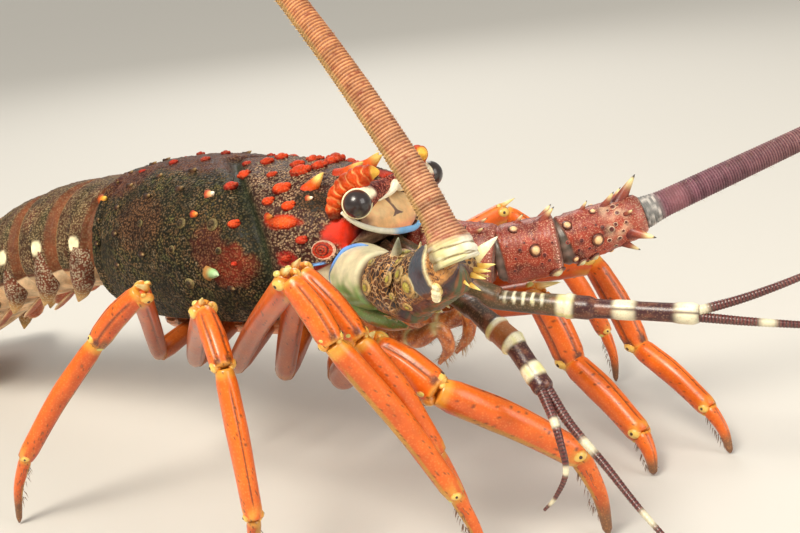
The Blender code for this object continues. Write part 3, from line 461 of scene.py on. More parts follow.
# %% [markdown]
# Spines, knobs and hairs come in crowds. All of one crowd are cut from a single long grid: the strips of
# faces between neighbours are taken out, and each part is then wrapped round its own line. A spine is a
# cone that leans and takes its colour from its height, a knob a flattened ball that can have a raised ring.


# %% Crowds of spines and knobs
def wrap_many(bm, count, along, around, place):
    """Bends count small grids at once with place(number, u, v)."""
    paint_layer = bm.verts.layers.float_color["paint"]
    grain_layer = bm.verts.layers.float_color["grain"]
    rows = count * (along + 1)
    made = bmesh.ops.create_grid(bm, x_segments=rows - 1, y_segments=around, size=1)["verts"]
    row_of = {vert: round((vert.co.x + 1) / 2 * (rows - 1)) for vert in made}
    between_parts = set()
    for vert, row in row_of.items():
        if row % (along + 1) == 0 and row:
            for face in vert.link_faces:
                if min(row_of[corner] for corner in face.verts) < row:
                    between_parts.add(face)
    bmesh.ops.delete(bm, geom=list(between_parts), context="FACES")
    for vert, row in row_of.items():
        k, j = divmod(row, along + 1)
        point, paint, grain = place(k, j / along, (vert.co.y + 1) / 2)
        vert.co = point
        vert[paint_layer] = paint
        vert[grain_layer] = (*grain[:3], 1)
    bmesh.ops.remove_doubles(bm, verts=list(row_of), dist=0.002 * MM)


def add_spines(bm, spines, around=12, along=9, needle=None):
    """Leaning spines, each (base, way, height, width, root colour, middle, tip, curve, flatness, sweep)."""
    if not spines:
        return
    turns = [spine[1].to_track_quat("Z", "X").to_matrix() for spine in spines]

    def place(k, u, v):
        base, way, height, width, root, middle, tip, curve, flat, sweep = spines[k]
        t = max(u * along - 1, 0) / (along - 1)
        swell = width * (1 - t) ** 0.75 * (1 + 0.25 * math.exp(-((t / 0.16) ** 2))) if 0 < u < 1 else 0
        ring = turns[k] @ Vector((math.cos(math.tau * v), math.sin(math.tau * v) * flat, 0)) * swell
        point = base + ring + way * ((t * 1.3 - 0.3) * height) + sweep * (curve * t * t * height)
        shade = mix(root, middle, step(0.1, 0.5, t)) if t < 0.5 else mix(middle, tip, step(0.5, 0.85, t))
        shade = mix(shade, needle, step(0.86, 0.93, t)) if needle else shade
        return point, (*shade, 0.12), mix(shade, WHITE, 0.3)

    wrap_many(bm, len(spines), along, around, place)


def add_knobs(bm, knobs, around=18, along=12):
    """Domed knobs, each (centre, normal, radius, rise, crown colour, flank, ring or None, stretch)."""
    if not knobs:
        return
    turns = [knob[1].to_track_quat("Z", "X").to_matrix() for knob in knobs]

    def place(k, u, v):
        centre, normal, radius, rise, crown, flank, ring, stretch = knobs[k]
        t, reach = math.cos(math.pi * u), math.sin(math.pi * u) if 0 < u < 1 else 0
        foot = reach * (1 + (0.75 * math.exp(-((t / 0.24) ** 2)) if ring else 0))
        x, y = math.cos(math.tau * v) * foot * radius, math.sin(math.tau * v) * foot * radius * stretch
        edge = 0.8 if rise < 0.7 * radius else 0.6
        shade = mix(flank, crown, step(edge - 0.3, edge, t))
        if ring:
            shade = mix(ring, shade, step(0.2, 0.42, t))
        return centre + turns[k] @ Vector((x, y, t * rise)), (*shade, 0.5), mix(shade, (1.0, 0.6, 0.3), 0.25)

    wrap_many(bm, len(knobs), along, around, place)


# Tubercles of each side: place, angle, height, and how they look
TUBERCLES = (
    (-62, 41, 3.6, "yellow"), (-61, 9, 2.0, "dark"), (-61, 24, 2.0, "dark"), (-61, 58, 2.0, "dark"),
    (-60, 76, 2.0, "dark"), (-50, 5, 2.6, "dark"), (-48, 18, 2.4, "deep"), (-47, 33, 2.8, "dark"),
    (-48, 50, 2.4, "dark"), (-46, 68, 2.6, "dark"), (-45, 88, 2.2, "dark"), (-36, 10, 2.8, "deep"),
    (-34, 26, 2.6, "dark"), (-33, 43, 2.8, "dark"), (-32, 61, 2.4, "ring"), (-30, 80, 2.6, "dark"),
    (-29, 99, 2.0, "ring"), (-22, 7, 3.0, "deep"), (-20, 21, 2.8, "dark"), (-19, 37, 3.0, "dark"),
    (-12, 60, 3.4, "ring"), (-15, 76, 2.4, "ring"), (-9, 97, 3.4, "ring"), (-7, 54, 2.6, "orange"),
    (-4, 40, 3.2, "white"), (1.4, 60, 3.8, "ring"), (1.6, 90, 4.6, "green"), (9.8, 59, 3.6, "red"),
    (5, 76, 2.2, "ring"), (2.2, 20, 4.2, "red"), (1, 32, 4.2, "deep"), (-2, 9, 2.6, "deep"),
    (4.8, 5, 4.0, "red"), (11, 84, 2.0, "deep"), (8, 100, 2.6, "dark"), (14, 20, 3.0, "red"),
    (18, 6, 4.2, "red"), (23.4, 15, 5.8, "red"), (22.4, 33, 5.2, "red"), (20, 43, 3.6, "red"),
    (26.5, 5, 4.6, "red"), (28, 46, 4.0, "red"), (22.5, 54, 2.6, "orange"), (35, 69, 3.4, "deep"),
    (30, 81, 3.0, "deep"), (42, 76, 3.2, "oval"), (34, 39, 2.2, "white"), (27.5, 57.5, 0, "patch"),
)
LOOKS = {
    "yellow": ((0.40, 0.07, 0.01), (0.85, 0.30, 0.03), (0.90, 0.55, 0.08)),
    "dark": ((0.03, 0.014, 0.008), (0.09, 0.035, 0.014), (0.34, 0.22, 0.09)),
    "deep": ((0.06, 0.008, 0.006), (0.20, 0.010, 0.006), (0.46, 0.030, 0.010)),
    "red": ((0.30, 0.015, 0.006), (0.26, 0.012, 0.004), (0.70, 0.060, 0.008)),
    "orange": ((0.42, 0.04, 0.01), (0.88, 0.20, 0.02), (0.92, 0.40, 0.10)),
    "white": ((0.40, 0.06, 0.02), (0.80, 0.40, 0.16), (0.95, 0.88, 0.70)),
}
spines, knobs = [], []
FORWARD = BODY.to_3x3() @ Vector((1, 0, 0))
for place, degrees, height, look in TUBERCLES:
    for side in SIDES.values():
        angle = math.radians(degrees) * side
        normal = shell_normal(place, angle)
        centre = BODY @ (shell_point(place, angle) * MM)
        outward = BODY.to_3x3() @ normal
        way = (outward * 0.55 + FORWARD).normalized()
        tall = height * MM
        if look in ("red", "deep"):
            # a flattened granular mound that leans forward, with one or two more granules on it
            root, flank, crown = LOOKS[look]
            crown = mix(crown, flank, 0.4) if degrees < 21 else crown
            lean = (outward + FORWARD * 0.35).normalized()
            knobs.append((centre, lean, tall * 0.42, tall * 0.46, crown, flank, None, 1.5))
            for shift, size in (((0.30, 0.22), 0.5), ((-0.42, -0.16), 0.42)):
                beside = outward.cross(FORWARD).normalized() * shift[1] + FORWARD * shift[0]
                knobs.append((centre + (beside + lean * 0.12) * tall, lean, tall * 0.42 * size, tall * 0.5 * size, crown, flank, None, 1.3))
        elif look in LOOKS:
            wide = tall * (0.46 if look == "dark" else 0.56)
            spines.append((centre - way * tall * 0.1, way, tall, wide, *LOOKS[look], 0.0, 0.85, FORWARD))
        elif look == "ring":
            shades = ((0.03, 0.02, 0.01), (0.45, 0.38, 0.16), (0.30, 0.24, 0.10))
            knobs.append((centre, outward, tall * 0.42, tall * 0.5, *shades, 1))
        elif look == "green":
            shades = ((0.35, 0.16, 0.04), (0.30, 0.50, 0.22), (0.55, 0.75, 0.45))
            spines.append((centre, way, tall, tall * 0.5, *shades, 0.2, 1.0, FORWARD))
        elif look == "patch":
            shades = ((0.74, 0.085, 0.010), (0.56, 0.040, 0.006), None)
            knobs.append((centre, outward, 2.2 * MM, 1.2 * MM, *shades, 2.5))
        else:
            # rings of red and dark in a thin cream line, like a shallow stepped dome
            discs = (3.2, (0.66, 0.40, 0.28)), (3.05, (0.42, 0.03, 0.010)), (2.5, (0.10, 0.008, 0.006)), (2.1, (0.42, 0.03, 0.010))
            discs += (1.6, (0.10, 0.008, 0.006)), (1.2, (0.44, 0.03, 0.012)), (0.7, (0.08, 0.006, 0.006))
            for k, (size, tint) in enumerate(discs):
                knobs.append((centre - FORWARD * 0.12 * k * MM, outward, size * MM, (0.5 + 0.17 * k) * MM, tint, tint, None, 1.3))
add_spines(shield, spines)
add_knobs(shield, knobs, 14, 7)
print("tubercles:", len(spines), "spines and", len(knobs), "knobs")

# %% [markdown]
# Tubes come next, for horns, stalks, legs and feelers. A smooth line is drawn through a few measured
# points, a frame is carried along it without twist, and a ring is laid on each frame. The function that
# gives the ring's radius also gives its colour, and the first and last rings close on the line itself.


# %% Tube helper
def line_through(points, count):
    """Evenly spaced points on a smooth curve through a few points."""
    dense = []
    for i in range(len(points) - 1):
        before = points[i - 1] if i else points[0] * 2 - points[1]
        after = points[i + 2] if i + 2 < len(points) else points[-1] * 2 - points[-2]
        a, b = points[i], points[i + 1]
        for k in range(24):
            t = k / 24
            dense.append(
                0.5 * (2 * a + (b - before) * t + (2 * before - 5 * a + 4 * b - after) * t**2
                + (3 * a - before - 3 * b + after) * t**3)
            )
    dense.append(points[-1].copy())
    return even(dense, count)


def even(points, count):
    """The same line with evenly spaced points."""
    total = [0.0]
    for a, b in zip(points, points[1:]):
        total.append(total[-1] + (b - a).length)
    found, i = [], 0
    for k in range(count):
        reach = total[-1] * k / (count - 1)
        while i < len(points) - 2 and total[i + 1] < reach:
            i += 1
        span = total[i + 1] - total[i]
        found.append(points[i].lerp(points[i + 1], (reach - total[i]) / span if span else 0))
    return found


def frames_along(path, up):
    """For each point: the point, its way, and a side and an over direction carried without twist."""
    found = []
    ways = [(path[min(i + 1, len(path) - 1)] - path[max(i - 1, 0)]).normalized() for i in range(len(path))]
    side = ways[0].cross(up).normalized()
    for point, way in zip(path, ways):
        side = (side - way * side.dot(way)).normalized()
        found.append((point, way, side, side.cross(way).normalized()))
    return found


def tube(bm, path, around, skin, up=Vector((0, 0, 1)), flat=1.0):
    """A closed tube; skin(share, angle) gives radius, paint and grain. The angle starts on the right."""
    frames = frames_along(path, up)
    count = len(path)

    def place(u, v):
        row = round(u * (count + 1))
        i = min(max(row - 1, 0), count - 1)
        centre, way, side, over = frames[i]
        angle = math.tau * v
        radius, paint, grain = skin(i / (count - 1), angle)
        radius *= 0 if row in (0, count + 1) else 1
        return centre + (side * (math.cos(angle) * flat) + over * math.sin(angle)) * radius, paint, grain

    wrap(bm, count + 1, around, place)
    return frames


def in_body(*places):
    """Body-frame points in millimetres, moved to the standing frame."""
    return [BODY @ (Vector(place) * MM) for place in places]


# %% [markdown]
# Behind each eye a thick horn arches up and forward. Its skin lies in about nine folds, orange-red on the
# crests with pale lines between them, and its point is smooth and yellow. Two strong orange spines with
# yellow tips stand behind it on each side. All of these grow from the shield, so they join its mesh.

# %% Horns and head spines
HORN_LINE = ((43.8, 20.8, 14.6), (44.0, 20.4, 18), (46.0, 18.8, 22.4), (50.2, 16.4, 25.4), (54.6, 14.2, 27), (57.6, 12.9, 27.2))
HORN_RADII = ((0, 1.8), (0.1, 2.5), (0.35, 3.1), (0.6, 3.6), (0.8, 3.2), (0.88, 2.5), (0.94, 1.6), (0.98, 1.0), (1, 0.4))
HORN_FOLDS = 9
HEAD_SPINES = (
    ((31.0, 15, 22.2), (0.73, 0, 0.68), 8.4, 3.4),
    ((38.6, 5.2, 24.6), (0.85, 0, 0.52), 8.4, 3.4),
)


def horn_skin(share, angle):
    """Folded skin of a horn."""
    wander = noise.noise(Vector((share * 9, math.cos(angle) * 1.2, math.sin(angle) * 1.2)))
    fold = math.cos(share * HORN_FOLDS * math.tau + 1.1 * math.sin(angle) + 3.0 * wander)
    smooth = step(0.88, 0.93, share)
    radius = straight(HORN_RADII, share) * (1 + 0.06 * fold * (1 - smooth)) * (1 + 0.10 * wander)
    red = mix((0.36, 0.018, 0.003), (0.54, 0.052, 0.004), 0.5 + 0.5 * math.sin(angle) + 0.4 * wander)
    line = (1 - step(-1.0, -0.6, fold)) * (0.4 + 0.6 * step(-0.1, 0.3, wander))
    paint = mix(red, (0.84, 0.34, 0.11), line)
    paint = mix(paint, (0.84, 0.46, 0.06), smooth)
    paint = mix((0.10, 0.015, 0.008), paint, step(0.02, 0.16, share))
    return radius * MM, (*paint, 0.10), (0.95, 0.55, 0.20)


spines = []
for side in SIDES.values():
    horn = in_body(*[(x, y * side, z) for x, y, z in HORN_LINE])
    tube(shield, line_through(horn, 110), 36, horn_skin)
    for place, way, tall, wide in HEAD_SPINES:
        base = BODY @ (Vector((place[0], place[1] * side, place[2])) * MM)
        way = BODY.to_3x3() @ Vector((way[0], way[1] * side, way[2])).normalized()
        shades = ((0.50, 0.04, 0.008), (0.76, 0.095, 0.010), (0.92, 0.64, 0.16))
        spines.append((base, way, tall * MM, wide * MM, *shades, 0.06, 0.8, FORWARD))
add_spines(shield, spines, 20, 18)
piece("carapace_shell", shield, granular, "shell", "carapace")

# %% [markdown]
# An eye is a glossy, nearly black ball under a clear skin, held by a thin cream ring. A real cornea
# mirrors its surroundings sharply, so this finish is the only one with a full, smooth coat.

# %% Eyes
eye_finish = bpy.data.materials.new("eye_glass")
eye_finish.use_nodes = True
tree = eye_finish.node_tree
shader = tree.nodes["Principled BSDF"]
paint = tree.nodes.new("ShaderNodeAttribute")
paint.attribute_name = "paint"
place = tree.nodes.new("ShaderNodeTexCoord")
facets = tree.nodes.new("ShaderNodeTexVoronoi")
facets.inputs["Scale"].default_value = 4200
bump = tree.nodes.new("ShaderNodeBump")
bump.inputs["Strength"].default_value = 0.12
bump.inputs["Distance"].default_value = 0.02 * MM
tree.links.new(place.outputs["Object"], facets.inputs["Vector"])
tree.links.new(facets.outputs["Distance"], bump.inputs["Height"])
tree.links.new(bump.outputs[0], shader.inputs["Normal"])
tree.links.new(paint.outputs["Color"], shader.inputs["Base Color"])
shader.inputs["Roughness"].default_value = 0.30
shader.inputs["Coat Weight"].default_value = 0.45
shader.inputs["Coat Roughness"].default_value = 0.06

for label, side in SIDES.items():
    centre = BODY @ Vector((EYE_CENTRE.x, EYE_CENTRE.y * side, EYE_CENTRE.z))
    out = (BODY.to_3x3() @ Vector((0.62, side * 0.76, 0.12))).normalized()
    ball = fresh()
    made = bmesh.ops.create_uvsphere(ball, u_segments=64, v_segments=40, radius=EYE_RADIUS)["verts"]
    turn = out.to_track_quat("Z", "X").to_matrix()
    for vert in made:
        t = vert.co.z / EYE_RADIUS
        vert.co = centre + turn @ vert.co
        shade = mix((0.045, 0.030, 0.024), (0.026, 0.018, 0.018), step(-0.2, 0.9, t))
        colour_points(ball, [vert], (*shade, 0))
    piece(f"eye_{label}_ball", ball, eye_finish, "eye_surface", "eye_" + label)

    stalk = fresh()
    start = BODY @ (Vector((50.0, 1.5 * side, 20.0)) * MM)
    line = line_through([start, start.lerp(centre, 0.5) + Vector((0, 0, 0.6 * MM)), centre], 46)

    def stalk_skin(share, angle, side=side):
        """Granular maroon above and behind, cream along the front and round the eye."""
        radius = straight(((0, 2.7), (0.4, 3.0), (0.7, 3.8), (0.86, 4.0), (1, 3.2)), share)
        # the frame's right points forward on one side of the head and back on the other
        front = math.cos(angle) * -side
        cream = max(step(0.60, 0.70, share) * step(0, 0.4, math.sin(angle)), step(0.5, 0.75, front - 0.5 * math.sin(angle)))
        lump = 0.25 * max(0, 0.6 - noise.voronoi(Vector((share * 10, math.cos(angle) * 2, math.sin(angle) * 2)))[0][0])
        paint = mix((0.12, 0.012, 0.010), (0.90, 0.80, 0.58), cream)
        return (radius + lump * (1 - cream)) * MM, (*paint, 1 - cream), (0.78, 0.22, 0.14)

    tube(stalk, line, 40, stalk_skin)

    def rim_skin(share, angle):
        """A thin cream ring."""
        return 0.32 * MM, (0.90, 0.82, 0.52, 0.05), CREAM

    ring = []
    for k in range(73):
        a = math.tau * k / 72
        ring.append(centre - out * 0.5 * MM + turn @ Vector((math.cos(a), math.sin(a), 0)) * (EYE_RADIUS + 0.08 * MM))
    tube(stalk, ring, 10, rim_skin, up=out)
    piece(f"eyestalk_{label}_skin", stalk, granular, "face_shell", "eyestalk_" + label)

# %% [markdown]
# Between the eyes lies a smooth peach plate that slopes forward. A dark grey mark with a forked foot runs
# down its middle, and a raised border, white beside the eyes and sky blue in front, closes it below.

# %% Face plate
PLATE_SLOPE = ((4.6, 53.6), (7, 53.2), (11, 52.2), (13.3, 50.8), (16.3, 48.6), (18, 47.2))
PLATE_HALF = ((4.6, 6.5), (7, 11.5), (9, 14), (11, 15.5), (13, 14.5), (15, 12.5), (18, 9))
MARK = ((17.8, -0.2, 1.1), (16.2, -0.1, 1.2), (14.2, -0.1, 0.65), (12.4, 0.1, 0.65), (11.2, 0.2, 1.1))


def plate_paint(y, z):
    """Peach with a dark forked mark in the middle, brown at the sides, and painted shade in the corners below the eyes.
    """
    cloud = noise.noise(Vector((y * 0.35, z * 0.35, 4)))
    shade = mix((1.0, 0.56, 0.23), (1.0, 0.70, 0.35), step(8, 16, z + 4 * cloud))
    shade = mix(shade, (0.66, 0.22, 0.05), step(9.5, 14, abs(y) + 3 * cloud) * 0.6)
    shade = mix(shade, (0.84, 0.25, 0.12), (1 - step(6.5, 9, z)) * 0.7)
    # painted shade: the corners below the eyes are darkened where the eye sockets shade them
    shade = mix(shade, (0.10, 0.045, 0.02), step(10.2, 13.2, abs(y) + 2.5 * cloud + 0.5 * (11 - z)) * 0.8)
    rows = tuple((z0, (y0, w0)) for z0, y0, w0 in MARK[::-1])
    gap = 9.0
    if MARK[-1][0] - 0.5 <= z <= MARK[0][0]:
        middle = straight(tuple((z0, y0) for z0, (y0, _) in rows), z)
        width = straight(tuple((z0, w0) for z0, (_, w0) in rows), z)
        gap = abs(y - middle) / width
    for fork in (-1, 1):
        t = min(max((11.9 - z) / 0.9, 0), 1.5)
        gap = min(gap, abs(y - 0.1 - fork * 1.5 * t) / 0.75) if 0 < t < 1.5 else gap
    return mix((0.22, 0.12, 0.09), shade, step(0.7, 1.25, gap))


def plate_place(u, v):
    """A closed shell, front pole at u = 0 and rear pole at u = 1."""
    reach = min(u / 0.85, 1.0)
    c, s = math.cos(math.tau * v), math.sin(math.tau * v)
    scale = reach if reach < 1 else 1 - (u - 0.85) / 0.15 * 1.0
    y = math.copysign(abs(c) ** 0.7, c) * scale
    z = 11 + math.copysign(abs(s) ** 0.75, s) * 6.6 * scale
    y *= straight(PLATE_HALF, z)
    x = straight(PLATE_SLOPE, z) - 0.009 * y * y + 0.5 * (1 - scale**4)
    if reach == 1:
        x = 48.2 if u > 0.9 else x - 1.2
    paint = plate_paint(y, z)
    return BODY @ (Vector((x, y, z)) * MM), (*paint, 0.05), CREAM


plate = fresh()
wrap(plate, 110, 180, plate_place)
BORDER = (
    (48.6, -22.9, 17.0), (50.0, -20.6, 14.0), (51.6, -16.6, 10.9), (52.9, -10.0, 7.9), (53.6, -3, 5.9),
    (53.6, 3, 4.9), (53.2, 8, 4.4), (52.6, 12.5, 6.2), (51.4, 17.5, 10.2), (50.0, 21, 13.8), (48.6, 22.9, 17.0),
)


def border_skin(share, angle):
    """White beside the eyes, sky blue in front."""
    blue = step(0.36, 0.46, share) * (1 - step(0.70, 0.78, share))
    paint = mix((0.90, 0.88, 0.70), (0.22, 0.52, 0.86), blue)
    return straight(((0, 0.5), (0.12, 0.85), (0.5, 1.15), (0.88, 0.85), (1, 0.5)), share) * MM, (*paint, 0), WHITE


tube(plate, line_through(in_body(*BORDER), 160), 14, border_skin, flat=0.8)
ARCH = (
    (51.6, -7.8, 17.0), (52.4, -5.0, 17.8), (53.2, -1.8, 19.0), (53.6, 0, 20.6),
    (53.2, 1.8, 19.0), (52.4, 5.0, 17.8), (51.6, 7.8, 17.0),
)


def arch_skin(share, angle):
    """The cream front edge of the bridge between the eye stalks."""
    return straight(((0, 0.4), (0.25, 1.0), (0.5, 1.5), (0.75, 1.0), (1, 0.4)), share) * MM, (0.90, 0.82, 0.60, 0), WHITE


tube(plate, line_through(in_body(*ARCH), 80), 16, arch_skin)
piece("face_plate_shell", plate, smooth_shell, "face_shell", "face_plate")

# %% [markdown]
# Under the margin the front of the head is a smooth curved shell: cream at the crest, green below, with a
# blue rim along the crest. It is the carapace's own form drawn in by two millimetres, from margin to floor
# of the head, and it carries the sockets of the antennae.

# %% Epistome
EPISTOME_DRAW = -1.8


def front_paint(x, y, z):
    """Cream and green crescent, red above it at the sides, and painted shade in the middle between the sockets."""
    side = abs(y)
    rim = straight(((0, 0.5), (10, 2.8), (19, 5.0), (23, 2.6), (27, -2)), side)
    below = rim - z
    shade = mix(CREAM, (0.30, 0.42, 0.14), step(6, 15, below + 0.25 * (side - 14)))
    # painted shade: the middle between the sockets, under the face plate, is darkened in the crescent and above it
    shade = mix(shade, (0.16, 0.05, 0.06), 1 - step(4, 8.5, side))
    above = mix((0.09, 0.03, 0.03), (0.42, 0.014, 0.006), step(12, 17, side))
    return mix(above, shade, step(-0.9, -0.3, below))


def front_place(u, v):
    """The front shell, closed on its middle line at both ends."""
    run = min(max((u - 0.03) / 0.94, 0), 1)
    x = 19 + (FRONT - 0.2 - 19) * run
    margin = straight(LOWER_MARGIN, x) + 0.4
    end = math.acos(max(-1, min(1, -19 / (BELLY_DEPTH * between(HALF_WIDTH, x) / 35))))
    begin = margin_angle(x, margin)
    if v < 0.42:
        angle = begin + (end - begin) * v / 0.42
        point = shell_point(x, angle, EPISTOME_DRAW)
    elif v < 0.58:
        left = shell_point(x, end, EPISTOME_DRAW)
        point = Vector((x, left.y * (1 - 2 * (v - 0.42) / 0.16), left.z))
    else:
        angle = -(end + (begin - end) * (v - 0.58) / 0.42)
        point = shell_point(x, angle, EPISTOME_DRAW)
    return point, x


def front_skin(u, v):
    point, x = front_place(u, min(v, 0.999))
    paint = front_paint(x, point.y, point.z)
    if u in (0, 1):
        point = Vector((x, 0, -9))
    return BODY @ (point * MM), (*paint, 0.1), CREAM


front = fresh()
wrap(front, 90, 150, front_skin)
piece("epistome_shell", front, smooth_shell, "cream_shell", "epistome")

# %% [markdown]
# Each antenna stands on three stout lengths that open towards the front. The near one begins with a smooth
# cream and green bowl in a blue rim, then turns brown with a pale net, olive knobs in rings and a slate-blue
# blade; the far one is salmon red with cream knobs in dark rings. Strong spines lean forward from the far end
# of each length, golden ones in a fan on the near side.

# %% Stout lengths of the antennae
ANTENNA_ROOT = Vector((45.5, 16, -5)) * MM
PEDUNCLES = {
    "R": ((-36, 10, 28.6, 10.7, 10.0), (-28, 8, 19.5, 10.3, 9.6), (-26.5, 26, 26.5, 9.4, 7.0)),
    "L": ((22.6, -8.8, 27.6, 10.7, 10.0), (32, 7, 20.7, 10.3, 9.6), (36, 14.3, 28.7, 9.4, 6.6)),
}
LENGTH_FORM = ((0, 0.80), (0.05, 0.93), (0.16, 0.985), (0.5, 1.02), (0.8, 1.04), (0.9, 1.07), (0.96, 1.03), (1, 0.88))
BOWL_FORM = ((0, 0.85), (0.12, 0.98), (0.3, 1.0), (0.6, 0.95), (0.85, 0.86), (1, 0.6))
DOME_FORM = ((0, 0.80), (0.05, 0.93), (0.16, 0.985), (0.5, 1.02), (0.8, 1.03), (0.88, 0.98), (0.94, 0.84), (0.98, 0.58), (1, 0.3))
# Spines of each length: share along it, angle in degrees from the outer side over the top, height, look
PEDUNCLE_SPINES = {
    "R": (
        (),
        ((0.81, 75, 8.4, "grey"), (0.80, 165, 4, "own"), (0.80, 230, 4, "own"), (0.42, 142, 3, "own"), (0.42, 285, 2.4, "own")),
        (
            (0.30, 92, 3.6, "own"), (0.66, 130, 7.0, "dark"), (0.92, 176, 8.5, "cream"), (0.80, 196, 4.5, "gold"),
            (0.93, 198, 5.6, "gold"), (0.97, 214, 5.4, "gold"), (0.90, 216, 4.2, "gold"), (0.97, 232, 5.0, "gold"),
            (0.93, 250, 4.6, "gold"), (0.97, 268, 3.6, "gold"), (0.42, 262, 2.4, "own"),
        ),
    ),
    "L": (
        (
            (0.72, 60, 5.0, "own"), (0.74, 120, 5.0, "own"), (0.7, 10, 4.5, "own"), (0.4, 85, 2.6, "own"),
            (0.42, 35, 2.4, "own"), (0.45, 140, 2.4, "own"),
        ),
        (
            (0.80, 60, 7.0, "own"), (0.82, 104, 7.0, "own"), (0.80, 320, 5.5, "own"), (0.40, 92, 5.0, "own"),
            (0.40, 20, 3.5, "own"), (0.40, 290, 3.5, "own"),
        ),
        (
            (0.82, 92, 10.5, "own"), (0.74, 52, 7.0, "own"), (0.62, 104, 6.5, "own"), (0.85, 8, 7.5, "own"),
            (0.82, 208, 9.0, "own"), (0.70, 244, 6.5, "own"), (0.85, 312, 7.5, "own"), (0.36, 92, 4.6, "own"),
            (0.30, 42, 3.6, "own"), (0.42, 350, 3.6, "own"), (0.80, 150, 4.0, "own"),
        ),
    ),
}
# Knobs: share along the length, angle, radius in millimetres
KNOBS = {
    "R": (
        (),
        ((0.41, 6, 1.35), (0.94, 86, 1.8), (0.35, 50, 0.9), (0.5, 300, 1.0), (0.5, 250, 1.1), (0.5, 200, 1.1), (0.6, 130, 1.1)),
        (
            (0.07, 24, 1.3), (0.30, 24, 1.4), (0.44, 354, 1.9), (0.08, 352, 0.8), (0.16, 56, 1.0), (0.2, 322, 0.9),
            (0.5, 104, 1.2), (0.55, 160, 1.2), (0.5, 215, 1.2), (0.3, 270, 1.1),
        ),
    ),
    "L": (
        (
            (0.4, 150, 1.0), (0.62, 190, 1.1), (0.5, 215, 1.0), (0.75, 240, 1.1), (0.45, 265, 1.0),
            (0.5, 60, 1.0), (0.6, 20, 1.1), (0.6, 320, 1.0),
        ),
        (
            (0.63, 168, 1.25), (0.36, 116, 1.1), (0.90, 232, 1.7), (0.5, 262, 1.0), (0.5, 60, 1.0), (0.5, 15, 1.1),
            (0.5, 320, 1.0),
        ),
        (
            (0.15, 132, 1.0), (0.42, 186, 1.3), (0.12, 210, 0.8), (0.48, 114, 0.8), (0.18, 232, 1.2), (0.34, 236, 1.2),
            (0.55, 262, 1.0), (0.5, 60, 1.0), (0.5, 20, 1.1),
        ),
    ),
}
# Pits of the far antenna: share, angle, radius and whether the rim is cream
PITS = (
    (),
    (
        (0.39, 162, 0.6, 0), (0.75, 180, 0.7, 0), (0.48, 150, 0.4, 0), (0.63, 146, 0.35, 0), (0.81, 192, 0.6, 0),
        (0.90, 160, 0.4, 0), (0.69, 196, 0.4, 0), (0.30, 176, 0.4, 0), (0.2, 150, 0.4, 0), (0.25, 200, 0.5, 0),
    ),
    (
        (0.60, 174, 0.85, 1), (0.54, 198, 0.65, 1), (0.51, 162, 0.7, 0), (0.24, 174, 0.75, 0), (0.09, 168, 0.55, 0),
        (0.18, 192, 0.55, 0), (0.30, 198, 0.55, 0), (0.66, 166, 0.6, 1), (0.66, 204, 0.65, 1), (0.60, 226, 0.6, 1),
        (0.72, 188, 0.5, 1), (0.70, 120, 0.9, 1), (0.63, 126, 0.5, 1), (0.72, 140, 0.7, 1), (0.78, 170, 0.5, 1),
        (0.33, 150, 0.4, 0), (0.45, 152, 0.35, 0), (0.36, 212, 0.4, 0), (0.46, 220, 0.45, 0), (0.76, 118, 0.6, 1),
    ),
)
NEAR = {
    "ground": (0.026, 0.010, 0.005), "net": (0.60, 0.28, 0.07), "own": ((0.24, 0.06, 0.03), (0.66, 0.40, 0.10), (0.84, 0.76, 0.44)),
    "knob": ((0.44, 0.38, 0.06), (0.12, 0.075, 0.018), (0.58, 0.38, 0.13)), "flat": 0.62,
    "gold": ((0.28, 0.10, 0.025), (0.86, 0.50, 0.07), (0.92, 0.74, 0.24)),
    "grey": ((0.84, 0.62, 0.30), (0.50, 0.50, 0.34), (0.28, 0.32, 0.22)),
    "cream": ((0.60, 0.40, 0.12), (0.88, 0.78, 0.42), (0.94, 0.90, 0.66)),
    "dark": ((0.42, 0.36, 0.08), (0.10, 0.05, 0.02), (0.07, 0.03, 0.015)),
}
FAR = {
    "ground": (0.36, 0.046, 0.020), "net": (0.78, 0.33, 0.18), "own": ((0.13, 0.012, 0.010), (0.30, 0.060, 0.030), (0.90, 0.74, 0.36)),
    "knob": ((0.90, 0.60, 0.30), (0.84, 0.36, 0.15), (0.07, 0.006, 0.008)), "flat": 0.85,
}
SLATE, TIP, PALE_EDGE = (0.050, 0.060, 0.078), (0.03, 0.018, 0.015), (0.86, 0.78, 0.44)
UNDER_PURPLE, UNDER_GREEN = (0.045, 0.020, 0.024), (0.070, 0.088, 0.030)


def heading(yaw, rise):
    """Unit vector from a turn to the left of +X and a rise above level, both in degrees."""
    a, e = math.radians(yaw), math.radians(rise)
    return Vector((math.cos(a) * math.cos(e), math.sin(a) * math.cos(e), math.sin(e)))


def peduncle_joints(label):
    """The joint points of one antenna's three stout lengths."""
    points = [BODY @ Vector((ANTENNA_ROOT.x, ANTENNA_ROOT.y * SIDES[label], ANTENNA_ROOT.z))]
    for yaw, rise, length, _, _ in PEDUNCLES[label]:
        points.append(points[-1] + heading(yaw, rise) * length * MM)
    return points


def turn_gap(angle, degrees):
    """Signed gap in degrees between an angle and a number of degrees."""
    return (math.degrees(angle) - degrees + 180) % 360 - 180


def near(angle, degrees, spread):
    """1 where an angle is within a spread of some degrees, fading to 0 beyond it."""
    return 1 - step(spread, spread + 12, abs(turn_gap(angle, degrees)))


# The green flap below the bowl: share of the first length, millimetres outward and over
LOBE = (
    (0.16, 6.5, -1.0), (0.24, 6.3, -3.0), (0.43, 4.6, -7.4), (0.62, 1.9, -10.8), (0.82, -1.5, -13.2), (1.0, -4.6, -14.6),
)


